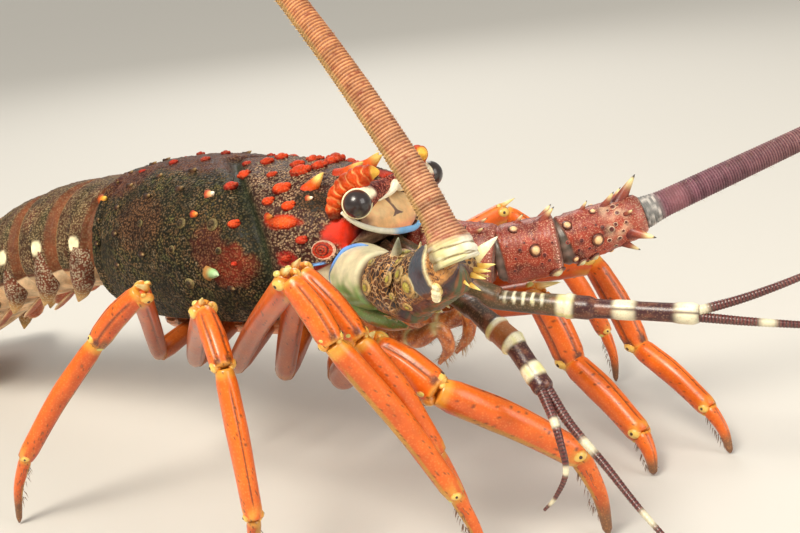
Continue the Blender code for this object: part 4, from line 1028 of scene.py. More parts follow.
def lobe_skin(share, angle):
    """Green above with brown flecks, streaked orange-brown towards its lower edge."""
    fleck = noise.noise(Vector((share * 24, math.cos(angle) * 3, math.sin(angle) * 3)))
    paint = mix((0.13, 0.22, 0.06), (0.20, 0.12, 0.05), step(0.1, 0.5, fleck) * 0.7)
    paint = mix(paint, (0.46, 0.17, 0.04), step(0.1, 0.7, -math.sin(angle) + 0.4 * fleck + 0.5 * share - 0.3))
    return straight(((0, 1.5), (0.2, 3.2), (0.5, 3.6), (0.8, 2.6), (1, 0.6)), share) * MM, (*paint, 0.1), CREAM


def bowl_skin(share, turned, drift):
    """The smooth first length of the near antenna: cream above, green below."""
    fall = step(-0.35, 0.65, 0.1 - math.sin(turned) + 0.5 * drift)
    paint = mix((0.72, 0.66, 0.42), (0.16, 0.31, 0.07), fall)
    return mix(paint, (0.10, 0.05, 0.02), step(0.86, 0.94, share)), 0.05, 0.0


def net_skin(share, turned, drift, last):
    """Net over brown, purple and green below; the last length also has a blade and a fibrous end."""
    low = -math.sin(turned) + 0.12 * drift
    paint = mix(NEAR["ground"], (0.13, 0.045, 0.012), step(-0.1, 0.5, drift))
    amount, lift = 0.95, 0.0
    if last:
        along, round_it = share * 26.5, turn_gap(turned, 0) * 0.14
        dash = noise.noise(Vector(((along - round_it) * 0.36, (along + round_it) * 2.0, 5)))
        fibre = step(0.76, 0.84, share) * near(turned, 0, 110)
        paint = mix(paint, mix((0.56, 0.24, 0.06), (0.07, 0.018, 0.008), step(0.04, 0.2, dash)), fibre)
        amount *= 1 - 0.8 * fibre
        hollow = math.hypot((share - 0.44) * 26.5, turn_gap(turned, 354) * 0.145)
        paint = mix((0.022, 0.012, 0.008), paint, step(2.3, 2.9, hollow))
        outline = math.exp(-(((hollow - 3.1) / 0.30) ** 2))
        amount *= step(2.3, 3.4, hollow)
        gap = turn_gap(turned, 2) / 60
        half = 0.135 * math.sqrt(max(0.0, 1 - gap * gap)) + 0.01
        middle = 0.665 + 0.06 * gap * gap
        blade = (1 - step(half * 0.85, half, abs(share - middle))) * (1 - step(0.95, 1.0, abs(gap)))
        wide = 0.012 if share > middle else 0.020
        rim = math.exp(-(((abs(share - middle) - half - wide * 0.3) / wide) ** 2)) * (1 - step(0.95, 1.05, abs(gap)))
        paint = mix(mix(paint, SLATE, blade), PALE_EDGE, max(rim, outline * 0.8))
        amount *= 1 - max(rim, blade)
        lift = 0.9 * blade + 0.5 * rim - 0.5 * (1 - step(1.8, 2.9, hollow))
    purple = step(0.58, 0.72, low)
    green = step(0.80, 0.94, low)
    streak = noise.noise(Vector((share * 7, math.degrees(turned) * 0.15, 9)))
    gold_brown = mix((0.36, 0.16, 0.045), (0.10, 0.03, 0.012), step(-0.1, 0.12, streak))
    paint = mix(paint, gold_brown, step(0.46, 0.54, low))
    paint = mix(paint, mix(UNDER_PURPLE, (0.15, 0.05, 0.03), step(0.12, 0.3, streak)), purple)
    paint = mix(paint, mix(UNDER_GREEN, (0.22, 0.075, 0.022), step(0.05, 0.25, streak + 0.4 * (low - 0.9))), green)
    return paint, amount * (1 - purple), lift - 0.6 * purple * (1 - green)


for label, side in SIDES.items():
    joints = peduncle_joints(label)
    tones = NEAR if label == "R" else FAR
    for i, (yaw, rise, length, r0, r1) in enumerate(PEDUNCLES[label]):
        a, b = joints[i], joints[i + 1]
        axis = (b - a).normalized()
        across = axis.cross(Vector((0, 0, 1))).normalized()
        over = across.cross(axis).normalized()
        outer = across * -side
        following = heading(*PEDUNCLES[label][i + 1][:2]) if i < 2 else heading(*((163, 60) if side < 0 else (45, 17)))
        bowl, dome = label == "R" and i == 0, label == "R" and i == 2
        form = BOWL_FORM if bowl else DOME_FORM if dome else LENGTH_FORM
        limb = fresh()

        def length_skin(share, angle, i=i, r0=r0, r1=r1, side=side, tones=tones, form=form):
            """Radius, paint and grain of one stout length."""
            turned = angle if side < 0 else math.pi - angle
            spot = Vector((share * 9, math.cos(angle) * 3.4, math.sin(angle) * 3.4 + 7 * i))
            drift = noise.noise(spot * 0.9)
            radius = (r0 + (r1 - r0) * share) * straight(form, share)
            if form is BOWL_FORM:
                paint, amount, lift = bowl_skin(share, turned, drift)
                return (radius + lift) * MM, (*paint, amount), CREAM
            lump = max(0, 0.5 - noise.voronoi(spot * 2.1)[0][0]) * 0.5
            radius += lump - 0.35 * math.exp(-(((share - 0.14) / 0.03) ** 2))
            if side < 0:
                radius *= 1 if i == 2 else 0.84 + 0.16 * step(0.1, 0.6, share)
                paint, amount, lift = net_skin(share, turned, drift, i == 2)
                return (radius + lift) * MM, (*paint, amount), mix(tones["net"], CREAM, 0.15 + 0.4 * drift)
            paint = mix(tones["ground"], mix(tones["ground"], (0.02, 0.006, 0.005), 0.6), step(0.0, 0.6, drift))
            collar = step(0.8, 0.95, share + 0.05 * drift)
            paint = mix(paint, (0.56, 0.20, 0.14), collar * 0.4)
            paint = mix(paint, (0.13, 0.015, 0.012), step(0.35, 0.9, math.sin(turned)) * 0.55)
            cream = step(0.50, 0.60, share) * (1 - step(0.78, 0.86, share)) * near(turned, 160, 46) if i == 2 else 0
            paint = mix(paint, (0.82, 0.60, 0.40), cream * step(-0.3, 0.3, drift) * 0.45)
            # a soft grey-brown skin joins each length to the one before, wider towards the outer side
            limit = 0.075 + 0.045 * math.cos(turned - math.radians(205))
            edge = 1 - step(limit, limit + 0.03, share) if i else 0
            edge = max(edge, math.exp(-(((share - 0.99) / 0.012) ** 2)) if i < 2 else 0)
            radius *= 1 - 0.10 * edge
            paint = mix(paint, mix((0.10, 0.075, 0.055), (0.24, 0.16, 0.13), step(-0.3, 0.4, drift)), edge)
            return radius * MM, (*paint, 0.7 * (1 - edge)), mix(tones["net"], CREAM, 0.15 + 0.5 * collar * near(turned, 170, 60))

        line = line_through([a - axis * (1.5 if i == 0 else 0.4) * MM, b + axis * (1.4 if dome else 0.4) * MM], 110 if dome else 72)
        tube(limb, line, 140 if dome else 84, length_skin, flat=0.95)
        spines, dark_tipped, knobs, small = [], [], [], []
        for share, degrees, height, look in PEDUNCLE_SPINES[label][i]:
            angle = math.radians(degrees)
            out = outer * math.cos(angle) + over * math.sin(angle)
            if label == "L" and share > 0.6 and out.dot(following) > 0.45:
                continue
            root = a.lerp(b, share) + out * (r0 + (r1 - r0) * share) * straight(form, share) * 0.92 * MM
            way = (out + axis * 0.9 + (over * 0.5 if look == "cream" else Vector())).normalized()
            tall = height * (0.86 if label == "L" else 1) * MM
            wide = 0.24 if look == "gold" else 0.30
            kept = dark_tipped if look == "own" else spines
            kept.append((root, way, tall, tall * wide, *tones[look], 0.12, 0.85, axis))
        for share, degrees, size in KNOBS[label][i]:
            angle = math.radians(degrees)
            out = outer * math.cos(angle) + over * math.sin(angle)
            if share > 0.6 and out.dot(following) > 0.5 and label == "L":
                continue
            foot = a.lerp(b, share) + out * (r0 + (r1 - r0) * share) * (0.98 if label == "R" else 1) * MM
            way = (out + axis * (0.1 if label == "R" else 0.25)).normalized()
            crown, flank, ring = tones["knob"]
            if label == "L" and 220 < degrees < 240:
                crown = (0.66, 0.64, 0.36)
            knobs.append((foot, way, size * MM, size * tones["flat"] * MM, crown, flank, ring, 1))
        if dome:
            # the blade ends below in a cream-white hook of fused knobs
            for share, degrees, size in ((0.76, 312, 1.5), (0.70, 306, 1.3), (0.82, 318, 1.6), (0.87, 326, 1.3)):
                angle = math.radians(degrees)
                out = outer * math.cos(angle) + over * math.sin(angle)
                foot = a.lerp(b, share) + out * (r0 + (r1 - r0) * share) * straight(form, share) * MM
                knobs.append((foot, out, size * MM, size * 0.95 * MM, (0.90, 0.84, 0.56), (0.78, 0.56, 0.20), None, 1))
        if label == "L":
            # small dark pits with pale rims between the knobs, placed as seen on the side in view
            rng = random.Random(11 + i)
            pits = list(PITS[i])
            for k in range(22 if i else 34):
                pits.append((rng.uniform(0.15, 0.88), rng.uniform(-110, 100 if i else 250), rng.uniform(0.4, 0.7), rng.random() > 0.7))
            beads = [(0.955, 360 * k / 52, 0.27, 2) for k in range(52)] if i < 2 else []
            for share, degrees, size, rim in pits + beads:
                angle = math.radians(degrees)
                out = outer * math.cos(angle) + over * math.sin(angle)
                foot = a.lerp(b, share) + out * ((r0 + (r1 - r0) * share) * straight(LENGTH_FORM, share) * 0.985) * MM
                dark = (0.86, 0.50, 0.40) if rim == 2 else (0.09, 0.007, 0.008)
                shade = None if rim == 2 else (0.84, 0.60, 0.40) if rim else (0.58, 0.13, 0.08)
                small.append((foot, out, size * MM, size * (0.9 if rim == 2 else 0.25) * MM, dark, dark, shade, 1))
        add_spines(limb, spines, 16, 13)
        add_spines(limb, dark_tipped, 16, 16, TIP)
        add_knobs(limb, knobs)
        add_knobs(limb, small, 10, 7)
        if bowl:
            rim_line = []
            for share, degrees in ((0.14, -6), (0.10, 10), (0.20, 30), (0.26, 56), (0.34, 72), (0.42, 84), (0.54, 93)):
                angle = math.radians(degrees)
                out = outer * math.cos(angle) * 0.95 + over * math.sin(angle)
                rim_line.append(a.lerp(b, share) + out * ((r0 + (r1 - r0) * share) * straight(form, share) + 0.1) * MM)

            def rim_skin(share, angle):
                """The blue rim of the bowl, greyer and thinner at its ends."""
                paint = mix((0.16, 0.20, 0.26), (0.16, 0.36, 0.84), step(0.15, 0.4, share) * (1 - 0.5 * step(0.9, 1, share)))
                return straight(((0, 0.25), (0.3, 0.5), (0.6, 0.8), (0.85, 0.6), (1, 0.15)), share) * MM, (*paint, 0), WHITE

            tube(limb, line_through(rim_line, 90), 12, rim_skin)
            lobe_line = [a + (b - a) * t + (outer * s + over * z) * MM for t, s, z in LOBE]
            tube(limb, line_through(lobe_line, 70), 40, lobe_skin, flat=0.7)
        coat = fine_grain if label == "L" else netted if i else smooth_shell
        piece(f"antenna_{label}_length{i + 1}", limb, coat, "antenna_shell", f"antenna_{label}_segment{i + 1}")

# %% [markdown]
# A whip is a long stack of short rings, about nine tenths of a millimetre each at its root. The near whip
# is cream-pink on the crests of the rings and mauve-brown between them, the far one violet and brown. Both
# carry fringes of fine hairs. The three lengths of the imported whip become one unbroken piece.

# %% Whips
WHIP_LENGTH, WHIP_ROOT, WHIP_TIP, RING_PITCH = 370 * MM, 4.4 * MM, 0.5 * MM, 0.9 * MM
WHIPS = {
    "R": ((0, 163, 60), (0.08, 176, 54.5), (0.32, 172.5, 43), (1, 177, 31.5)),
    "L": ((0, 45, 17), (0.3, 47, 17), (1, 38, 4)),
}
RING_ROWS = 4


def whip_line(label, steps=42):
    """Points along the whip of one antenna."""
    table = WHIPS[label]
    points = [peduncle_joints(label)[-1]]
    for k in range(steps):
        t = k / (steps - 1)
        i = max(n for n in range(len(table) - 1) if table[n][0] <= t)
        (t0, yaw0, rise0), (t1, yaw1, rise1) = table[i], table[i + 1]
        way = heading(yaw0, rise0).lerp(heading(yaw1, rise1), (t - t0) / (t1 - t0)).normalized()
        points.append(points[-1] + way * WHIP_LENGTH / steps)
    return points


def whip_radius(share):
    """Radius of a whip at a share of its length."""
    return WHIP_TIP + (WHIP_ROOT - WHIP_TIP) * (1 - share) ** 1.15


for label, side in SIDES.items():
    rings = round(WHIP_LENGTH / RING_PITCH)
    line = line_through(whip_line(label), rings * RING_ROWS + 1)
    whip = fresh()
    crest, groove = ((0.80, 0.44, 0.24), (0.23, 0.068, 0.032)) if label == "R" else ((0.26, 0.12, 0.15), (0.07, 0.020, 0.035))

    def ring_skin(share, angle, label=label, crest=crest, groove=groove):
        """Rings with a sharp front edge, each a little lighter or darker; the near whip has a folded collar."""
        ring = int(share * rings)
        wave = 0.5 - 0.5 * math.cos(math.tau * (share * rings % 1))
        fleck = noise.noise(Vector((ring * 0.9, math.cos(angle) * 2.2, math.sin(angle) * 2.2)))
        tone = 1 + 0.5 * noise.noise(Vector((ring * 0.37, 2, 7))) + 0.3 * noise.noise(Vector((ring * 1.7, 5, 3)))
        warm = (0.76, 0.30, 0.08) if label == "R" else (0.36, 0.20, 0.14)
        paint = mix(groove, mix(crest, warm, step(0.02, 0.20, share) * 0.6), wave * (0.8 + 0.3 * fleck))
        paint = tuple(min(c * tone, 0.95) for c in paint)
        swell = 1 + 0.08 * wave + 0.2 * math.exp(-((share / 0.014) ** 2))
        if label == "L":
            paint = mix(paint, mix((0.20, 0.20, 0.19), (0.62, 0.58, 0.54), step(0, 0.4, fleck)), 1 - step(0.012, 0.020, share))
            paint = mix(paint, (0.34, 0.14, 0.15), 0.5 * math.exp(-(((share - 0.032) / 0.012) ** 2)))
        if label == "R":
            paint = mix(paint, (0.26, 0.06, 0.03), step(0.34, 0.46, fleck) * 0.8)
            paint = mix(paint, (0.50, 0.36, 0.13), 0.55 * near(angle, 216, 24) * (1 - step(0.3, 0.5, share)))
            # the collar: three soft folds, yellow-green to the left and cream-white to the right
            collar = 1 - step(0.013, 0.021, share + 0.003 * math.sin(angle))
            crease = math.cos(math.tau * 2.7 * share / 0.02 + 1.6 * math.sin(angle + 0.5) + 1.5 * fleck)
            skin = mix((0.66, 0.60, 0.30), (0.93, 0.88, 0.70), max(near(angle, 66, 44), step(0.0, 0.5, fleck)))
            skin = mix(skin, (0.16, 0.11, 0.07), 0.7 * near(angle, 212, 20))
            skin = mix((0.20, 0.14, 0.06), skin, step(-1.0, -0.7, crease))
            paint = mix(paint, (0.50, 0.17, 0.12), step(0.1, 0.4, fleck) * math.exp(-(((share - 0.024) / 0.006) ** 2)))
            paint = mix(paint, skin, collar)
            swell = 1 + 0.08 * wave * (1 - collar) + 0.035 * crease * collar + 0.50 * math.exp(-((share / 0.022) ** 4))
        return whip_radius(share) * 0.97 * swell, (*paint, 0.25), mix(crest, WHITE, 0.2)

    frames = tube(whip, line, 24, ring_skin, up=Vector((0.3, 0.1, 1)))
    rng = random.Random(5 if label == "R" else 6)
    rows = ((222, 0.75, (0.80, 0.50, 0.14), 1.3), (48, 0.45, (0.45, 0.12, 0.05), 0.9))
    if label == "L":
        rows = ((80, 0.5, (0.30, 0.16, 0.09), 1.1), (262, 0.8, (0.36, 0.22, 0.13), 2.0))
    hairs = []
    for k in range(2, rings - 2):
        point, way, across, over = frames[k * RING_ROWS]
        share = k / rings
        for degrees, chance, shade, long in rows * 2:
            if rng.random() > chance:
                continue
            turn = math.radians(degrees + rng.uniform(-22, 22))
            out = across * math.cos(turn) + over * math.sin(turn)
            tall = long * (1 - 0.6 * share) * rng.uniform(0.7, 1.2) * MM
            tint = mix(shade, WHITE, rng.uniform(0, 0.3))
            lean = (out + way * rng.uniform(0.5, 1.0)).normalized()
            hairs.append((point + out * whip_radius(share) * 0.98, lean, tall, 0.10 * MM, *[tint] * 3, 0, 1, way))
    add_spines(whip, hairs, 3, 3)
    piece(f"antenna_{label}_lash", whip, whip_finish, "whip_shell", *[f"antenna_{label}_whip{n}" for n in (1, 2, 3)])
    print("hairs on whip", label, len(hairs))

# %% [markdown]
# The antennules are slender and dark maroon, with cream bands on their joints. Each has a stem of four
# lengths and two fine branches that are ringed like the whips.

# %% Antennules
ANTENNULES = {
    "R": {
        "root": (47.5, -3.0, 1.2),
        "stem": ((67, -8.5, 73), (93, -24.1, 71.4), (108, -28.7, 64.1), (119.5, -34.1, 54.4)),
        "outer": ((127.8, -36.8, 46.9), (139.2, -40.6, 38.8), (150.4, -45.2, 30.9), (163.6, -49.6, 22), (175, -55, 15)),
        "inner": ((124, -39, 49), (127, -41.5, 44), (129, -43, 36), (126, -44, 28.5), (122.5, -44.5, 24)),
    },
    "L": {
        "root": (47.5, 3.0, 1.2),
        "stem": ((62, 4.6, 73), (81.9, 8.5, 62.8), (111, 16, 60.5), (141.8, 22.6, 59.7)),
        "outer": ((154, 30, 64), (168, 40, 69), (182, 52, 75), (196, 66, 82)),
        "inner": ((156, 28, 57), (172, 36, 55), (188, 45, 54), (204, 55, 55)),
    },
}
ANTENNULE_RADII = {
    "R": ((0, 2.4), (0.35, 2.4), (0.55, 3.0), (0.72, 3.9), (0.82, 3.5), (0.92, 3.1), (1, 2.9)),
    "L": ((0, 2.9), (0.2, 3.4), (0.45, 3.8), (0.62, 3.75), (0.75, 3.3), (1, 2.9)),
}
BANDS = {
    "R": ((0.725, 0.011), (0.812, 0.014), (0.93, 0.026)),
    "L": ((0.475, 0.065), (0.60, 0.026), (0.78, 0.034), (0.965, 0.035)),
}
MAROON_DARK, BAND = (0.055, 0.012, 0.014), (0.88, 0.82, 0.58)

for label, places in ANTENNULES.items():
    root = BODY @ (Vector(places["root"]) * MM)
    stem = [root] + [Vector(p) * MM for p in places["stem"]]
    total = sum((b - a).length for a, b in zip(stem, stem[1:]))
    ends, run = [], 0
    for a, b in zip(stem, stem[1:]):
        run += (b - a).length
        ends.append(run / total)

    def stem_skin(share, angle, label=label, ends=tuple(ends)):
        """Lengths that widen towards their joints, with cream bands."""
        start = max([0] + [e for e in ends if e <= share])
        stop = min([e for e in ends if e > share] + [1])
        t = (share - start) / max(stop - start, 1e-6)
        radius = straight(ANTENNULE_RADII[label], share) * (0.86 + 0.2 * t * t - 0.16 * math.exp(-(((t - 1) / 0.04) ** 2)))
        band = max(math.exp(-(((share - at) / wide) ** 6)) for at, wide in BANDS[label])
        wander = noise.noise(Vector((share * 22, math.cos(angle) * 1.6, math.sin(angle) * 1.6)))
        if label == "L" and abs(share - 0.475) < 0.08:
            # a row of short dashes in place of one broad band
            dashes = step(0.25, 0.7, math.cos((share - 0.475) * 214 + 1.0 * math.sin(angle)))
            band *= dashes * step(0.0, 0.35, math.sin(angle) + 0.2 * wander)
        if share > (0.7 if label == "L" else 0.86):
            # each broad band is parted by a thin dark line along the side
            band *= step(0.03, 0.12, abs(math.sin(angle - (0.5 if label == "L" else 0.96))))
        if label == "L":
            base = mix((0.085, 0.058, 0.024), MAROON_DARK, step(0.58, 0.66, share))
        else:
            base = mix((0.05, 0.026, 0.014), (0.40, 0.13, 0.03), step(0.72, 0.74, share) * (1 - step(0.78, 0.83, share)))
            base = mix(base, MAROON_DARK, step(0.80, 0.86, share))
        base = mix(base, (0.30, 0.10, 0.05), step(0.05, 0.5, wander) * 0.6)
        tint = mix(BAND, (0.72, 0.68, 0.24), step(-0.1, 0.4, wander) * 0.8) if share < 0.7 or label == "R" else BAND
        paint = mix(base, tint, min(band, 1))
        radius *= 1 + 0.10 * band * (share > 0.6)
        return radius * MM, (*paint, 0.35), (0.5, 0.3, 0.16)

    made = fresh()
    tube(made, even(stem, 220), 28, stem_skin)
    piece(f"antennule_{label}_stalk", made, smooth_shell, "antennule_shell", f"antennule_{label}_stem")
    tip_way = (stem[-1] - stem[-2]).normalized()
    across = tip_way.cross(Vector((0, 0, 1))).normalized()
    over = across.cross(tip_way).normalized()
    spread = over if label == "L" else -across
    for branch, way in (("outer", 1), ("inner", -1)):
        start = stem[-1] - tip_way * 0.6 * MM + spread * way * 0.95 * MM
        points = [start] + [Vector(p) * MM for p in places[branch]]
        long = sum((b - a).length for a, b in zip(points, points[1:]))
        count = round(long / (1.0 * MM))

        def branch_skin(share, angle, count=count, label=label, branch=branch):
            """Fine rings, dark maroon with a few pale bands."""
            wave = 0.5 - 0.5 * math.cos(math.tau * share * count)
            first = 0.01 if label == "L" and branch == "outer" else 0.28
            pale = max(math.exp(-(((share - at) / 0.035) ** 4)) for at in (first, 0.62, 0.9))
            paint = mix(mix((0.03, 0.006, 0.008), (0.16, 0.035, 0.03), wave), BAND, 0.8 * pale)
            return (1.55 - 1.1 * share) * (0.94 + 0.1 * wave) * MM, (*paint, 0.1), CREAM

        made = fresh()
        tube(made, line_through(points, count * 4 + 1), 12, branch_skin)
        piece(f"antennule_{label}_{branch}_lash", made, smooth_shell, "antennule_shell", f"antennule_{label}_{branch}")

# %% [markdown]
# A walking leg shows five lengths: a short root, a long first length up to the knee, a short knee piece, a
# slender shin and a curved claw. Each is a smooth orange shell that swells to its joint, with dark grooves
# running lengthwise and olive-yellow edges. Painted light and shade make its top lighter and its underside
# darker, and painted shade darkens the root, the first length near the body and the knee piece's joint end.
# Yellow knobs with dark spots sit at the joints.

# %% Leg lengths
LEG_ROOTS = ((33, 9), (18, 11.5), (3, 14), (-12, 15.5), (-27, 16))
LEG_PLACES = {
    "R1": ((43, -27, 45), (70, -42, 63), (89.8, -42, 52.8), (119, -16, 27), (125, -12, 0), 5.4),
    "R2": ((26, -34, 47), (61, -60, 90.3), (78, -60, 73), (91.5, -48, 37), (96, -38, 0), 4.0),
    "R3": ((8, -37, 48), (67, -72, 92.5), (79, -72, 76.4), (99.3, -52, 27.4), (104, -47, 0), 3.8),
    "R4": ((-10, -37, 48), (31.6, -70, 79.6), (44.1, -78, 66.9), (53, -84, 26), (49, -82, 0), 3.8),
    "R5": ((-27, -37, 48), (-2.9, -62, 79.5), (-21, -67, 63), (-48, -82, 25), (-56, -84, 0), 3.6),
    "L1": ((40, 28, 45), (77, 42, 52.6), (88.3, 42, 30.3), (117, 32, 12.5), (122, 29, 0), 5.4),
    "L2": ((24, 33, 47), (87, 64, 60), (103, 64, 30), (131, 56, 14), (139, 53, 0), 4.5),
    "L3": ((4, 36, 48), (44, 80, 71), (60, 90, 52), (74, 98, 20), (78, 97, 0), 3.9),
    "L4": ((-10, 37, 48), (-6, 82, 76), (-10, 98, 60), (-16, 110, 22), (-20, 104, 0), 3.8),
    "L5": ((-27, 37, 48), (-42, 72, 76), (-58, 84, 60), (-78, 96, 22), (-86, 93, 0), 3.6),
}
# Radius along each length as shares of the leg's radius: root, first length, knee piece, shin, claw
LEG_FORMS = (
    ((0, 0.86), (0.3, 0.96), (0.8, 1.04), (1, 0.9)),
    ((0, 0.80), (0.08, 0.93), (0.3, 0.98), (0.7, 1.0), (0.9, 1.06), (0.97, 1.08), (1, 0.95)),
    ((0, 0.76), (0.12, 0.95), (0.45, 1.07), (0.85, 1.05), (1, 0.9)),
    ((0, 0.74), (0.1, 0.90), (0.4, 0.95), (0.75, 0.86), (0.94, 0.83), (1, 0.72)),
    ((0, 0.55), (0.1, 0.60), (0.5, 0.45), (0.8, 0.34), (0.93, 0.28), (1, 0.1)),
)
# Lengthwise grooves: angle in degrees, and half width
LEG_GROOVES = (((100, 3),), ((82, 3), (250, 3)), ((55, 3), (118, 3), (190, 3)), ((90, 3), (262, 3)), ((90, 5),))
LEG_ORANGE, LEG_PAINTED_SHADE, LEG_EDGE = (0.84, 0.150, 0.006), (0.42, 0.034, 0.004), (0.46, 0.27, 0.022)
LEG_DARK = (0.055, 0.016, 0.007)


def leg_skin(number, radius, turned):
    """The skin of one length of leg, mirrored for the left side."""
    form, grooves = LEG_FORMS[number], LEG_GROOVES[number]

    def skin(share, angle):
        angle = angle if not turned else math.pi - angle
        size = straight(form, share)
        groove = max(1 - step(wide - 2, wide + 6, abs(turn_gap(angle, degrees))) for degrees, wide in grooves)
        groove *= step(0.08, 0.2, share) * (1 - step(0.86, 0.95, share)) if number < 4 else 0.6
        size -= 0.10 * groove
        top = 0.5 + 0.5 * math.sin(angle)
        cloud = noise.noise(Vector((share * 6, math.cos(angle) * 1.5, math.sin(angle) * 1.5 + 3 * number)))
        # painted light and shade: the orange is lighter on the top of each length and darker towards its underside,
        # with a random mottle
        paint = mix(LEG_PAINTED_SHADE, LEG_ORANGE, 0.35 + 0.65 * top + 0.25 * cloud)
        paint = mix(paint, LEG_EDGE, near(angle, 290, 30) * (0.75 if number > 1 else 0.1) * step(-0.5, 0.0, cloud))
        paint = mix(paint, LEG_DARK, groove * 0.85)
        joint = 1 - step(0.03, 0.08, share) if number else 0
        gold = step(0.88, 0.97, share) * step(-0.2, 0.3, cloud) if number in (1, 3) else step(0.94, 0.99, share)
        paint = mix(paint, (0.74, 0.36, 0.04), max(gold, joint) * 0.75)
        if number == 2:
            # painted shade at the joint end of the knee piece: dark in the grooves near the joint, and broadly darker
            # on the underside
            groove_end_shade = step(0.84, 0.92, share) * (1 - step(0.96, 0.99, share))
            paint = mix(paint, LEG_DARK, 0.85 * groove_end_shade * max(near(angle, d, 12) for d, _ in grooves))
            paint = mix(paint, (0.12, 0.07, 0.014), 0.7 * step(0.76, 0.90, share + 0.08 * cloud) * near(angle, 262, 44))
        # painted shade under the body: the root, and the first length near the body, are darkened
        if number < 2:
            paint = mix(paint, (0.22, 0.042, 0.005), (1 - step(0.2, 0.95, share if number else 0)) * 0.8)
        spot = noise.noise(Vector((share * 55 + number * 9, math.cos(angle) * 4, math.sin(angle) * 4)))
        paint = mix(paint, LEG_DARK, step(0.50, 0.58, spot) * 0.8)
        if number == 4:
            paint = mix(paint, (0.20, 0.08, 0.03), step(0.45, 0.8, share))
        return radius * size, (*paint, 0.22 if number > 1 else 0.1), (0.95, 0.45, 0.12)

    return skin


def leg_length(bm, a, b, number, radius, turned, bow=0.0):
    """One length of leg from joint to joint, bowed outwards a little if wanted."""
    line = [a, a.lerp(b, 0.5) + Vector((0, 0, 1)).cross(b - a).cross(b - a).normalized() * -bow, b]
    count = 22 + round((b - a).length / (1.3 * MM))
    tube(bm, line_through(line, count), 48, leg_skin(number, radius, turned), flat=0.88)


def joint_dress(joint, before, after, radius, side):
    """Swollen knobs at the two sides of a joint, a smaller one above and a pale spine."""
    bend = ((joint - before).normalized() + (after - joint).normalized()).normalized()
    up = ((joint - before).normalized() - (after - joint).normalized())
    up = up.normalized() if up.length > 0.05 else Vector((0, 0, 1))
    across = bend.cross(up).normalized()
    gold, amber, olive = (0.86, 0.56, 0.12), (0.70, 0.26, 0.03), (0.66, 0.62, 0.16)
    knobs, spines = [], []
    # way from the axis, size and how far forward of the joint, each as a share of the leg's radius
    plan = (
        (across, 0.52, -0.30, amber, gold), (-across, 0.52, -0.30, amber, gold), (across * 0.8 + up, 0.27, -0.75, amber, olive),
        (-across * 0.9 + up * 0.7, 0.22, 0.05, amber, gold), (-up + across * 0.3, 0.42, 0.0, amber, olive),
    )
    for way, size, shift, flank, crown in plan:
        way = way.normalized()
        foot = joint + bend * radius * shift + way * radius * 0.66
        knobs.append((foot, (way + bend * 0.3).normalized(), radius * size, radius * size * 0.85, crown, flank, None, 1.25))
    for way in (across, -across):
        foot = joint - bend * radius * 0.30 + way * radius * 1.06
        knobs.append((foot, way, radius * 0.16, radius * 0.10, LEG_DARK, LEG_DARK, None, 1))
    spines.append((
        joint - bend * radius * 0.2 + up * radius * 0.72, (up * 0.8 + bend).normalized(), radius * 1.25, radius * 0.32,
        (0.74, 0.36, 0.06), (0.90, 0.78, 0.36), (0.80, 0.66, 0.22), 0.1, 0.8, bend,
    ))
    return knobs, spines


for label, (*places, thick) in LEG_PLACES.items():
    side = SIDES[label[0]]
    x, y = LEG_ROOTS[int(label[1]) - 1]
    root = BODY @ (Vector((x, y * side, -23.5)) * MM)
    hip, knee, wrist, ankle, foot = [Vector(p) * MM for p in places]
    radius = thick * MM
    upper, lower = fresh(), fresh()
    leg_length(upper, root, hip, 0, radius, side > 0)
    leg_length(upper, hip, knee, 1, radius, side > 0, 1.2 * MM)
    knobs, spines = joint_dress(knee, hip, wrist, radius, side)
    add_knobs(upper, knobs, 12, 8)
    add_spines(upper, spines, 10, 8)
    leg_length(lower, knee, wrist, 2, radius, side > 0, 0.8 * MM)
    leg_length(lower, wrist, ankle, 3, radius, side > 0, 1.0 * MM)
    leg_length(lower, ankle, foot + Vector((0, 0, 0.6)) * MM, 4, radius, side > 0, 1.6 * MM)
    for vert in lower.verts:
        vert.co.z = max(vert.co.z, 0.05 * MM)
    knobs, spines = joint_dress(wrist, knee, ankle, radius * 0.9, side)
    knobs, spines = [knob for knob in knobs if knob[2] < 0.5 * radius], []
    more, _ = joint_dress(ankle, wrist, foot, radius * 0.72, side)
    add_knobs(lower, knobs + more, 12, 8)
    rng = random.Random(40 + int(label[1]) + (10 if side > 0 else 0))
    axis = (foot - ankle).normalized()
    across = axis.cross(Vector((0, 1, 0))).normalized()
    over = across.cross(axis)
    for k in range(44):
        share, turn = rng.uniform(0.12, 0.80), rng.uniform(0, math.tau)
        out = across * math.cos(turn) + over * math.sin(turn)
        at = ankle.lerp(foot, share) + out * radius * 0.86 * straight(LEG_FORMS[4], share)
        way = (out + axis * 1.5).normalized()
        spines.append((at, way, 1.7 * MM, 0.13 * MM, *[(0.16, 0.07, 0.03)] * 3, 0, 1, axis))
    add_spines(lower, spines, 6, 5)
    piece(f"leg_{label}_upper", upper, leg_finish, "leg_shell", f"leg_{label}_thigh")
    piece(f"leg_{label}_lower", lower, leg_finish, "leg_shell", f"leg_{label}_shin")

# %% [markdown]
# Two leg-like mouthparts fold under the face. Their inner edges carry a brush of stiff hairs.

# %% Outer mouthparts
MOUTHPART = ((44, 6.0, -25), (50, 7.5, -27), (60, 9, -27.5), (68, 8.5, -24), (69, 6, -31), (64, 5, -37))
MOUTHPART_FORM = ((0, 3.2), (0.28, 3.3), (0.33, 2.7), (0.38, 3.1), (0.56, 2.6), (0.6, 2.1), (0.66, 2.5), (0.8, 2.1), (1, 0.7))


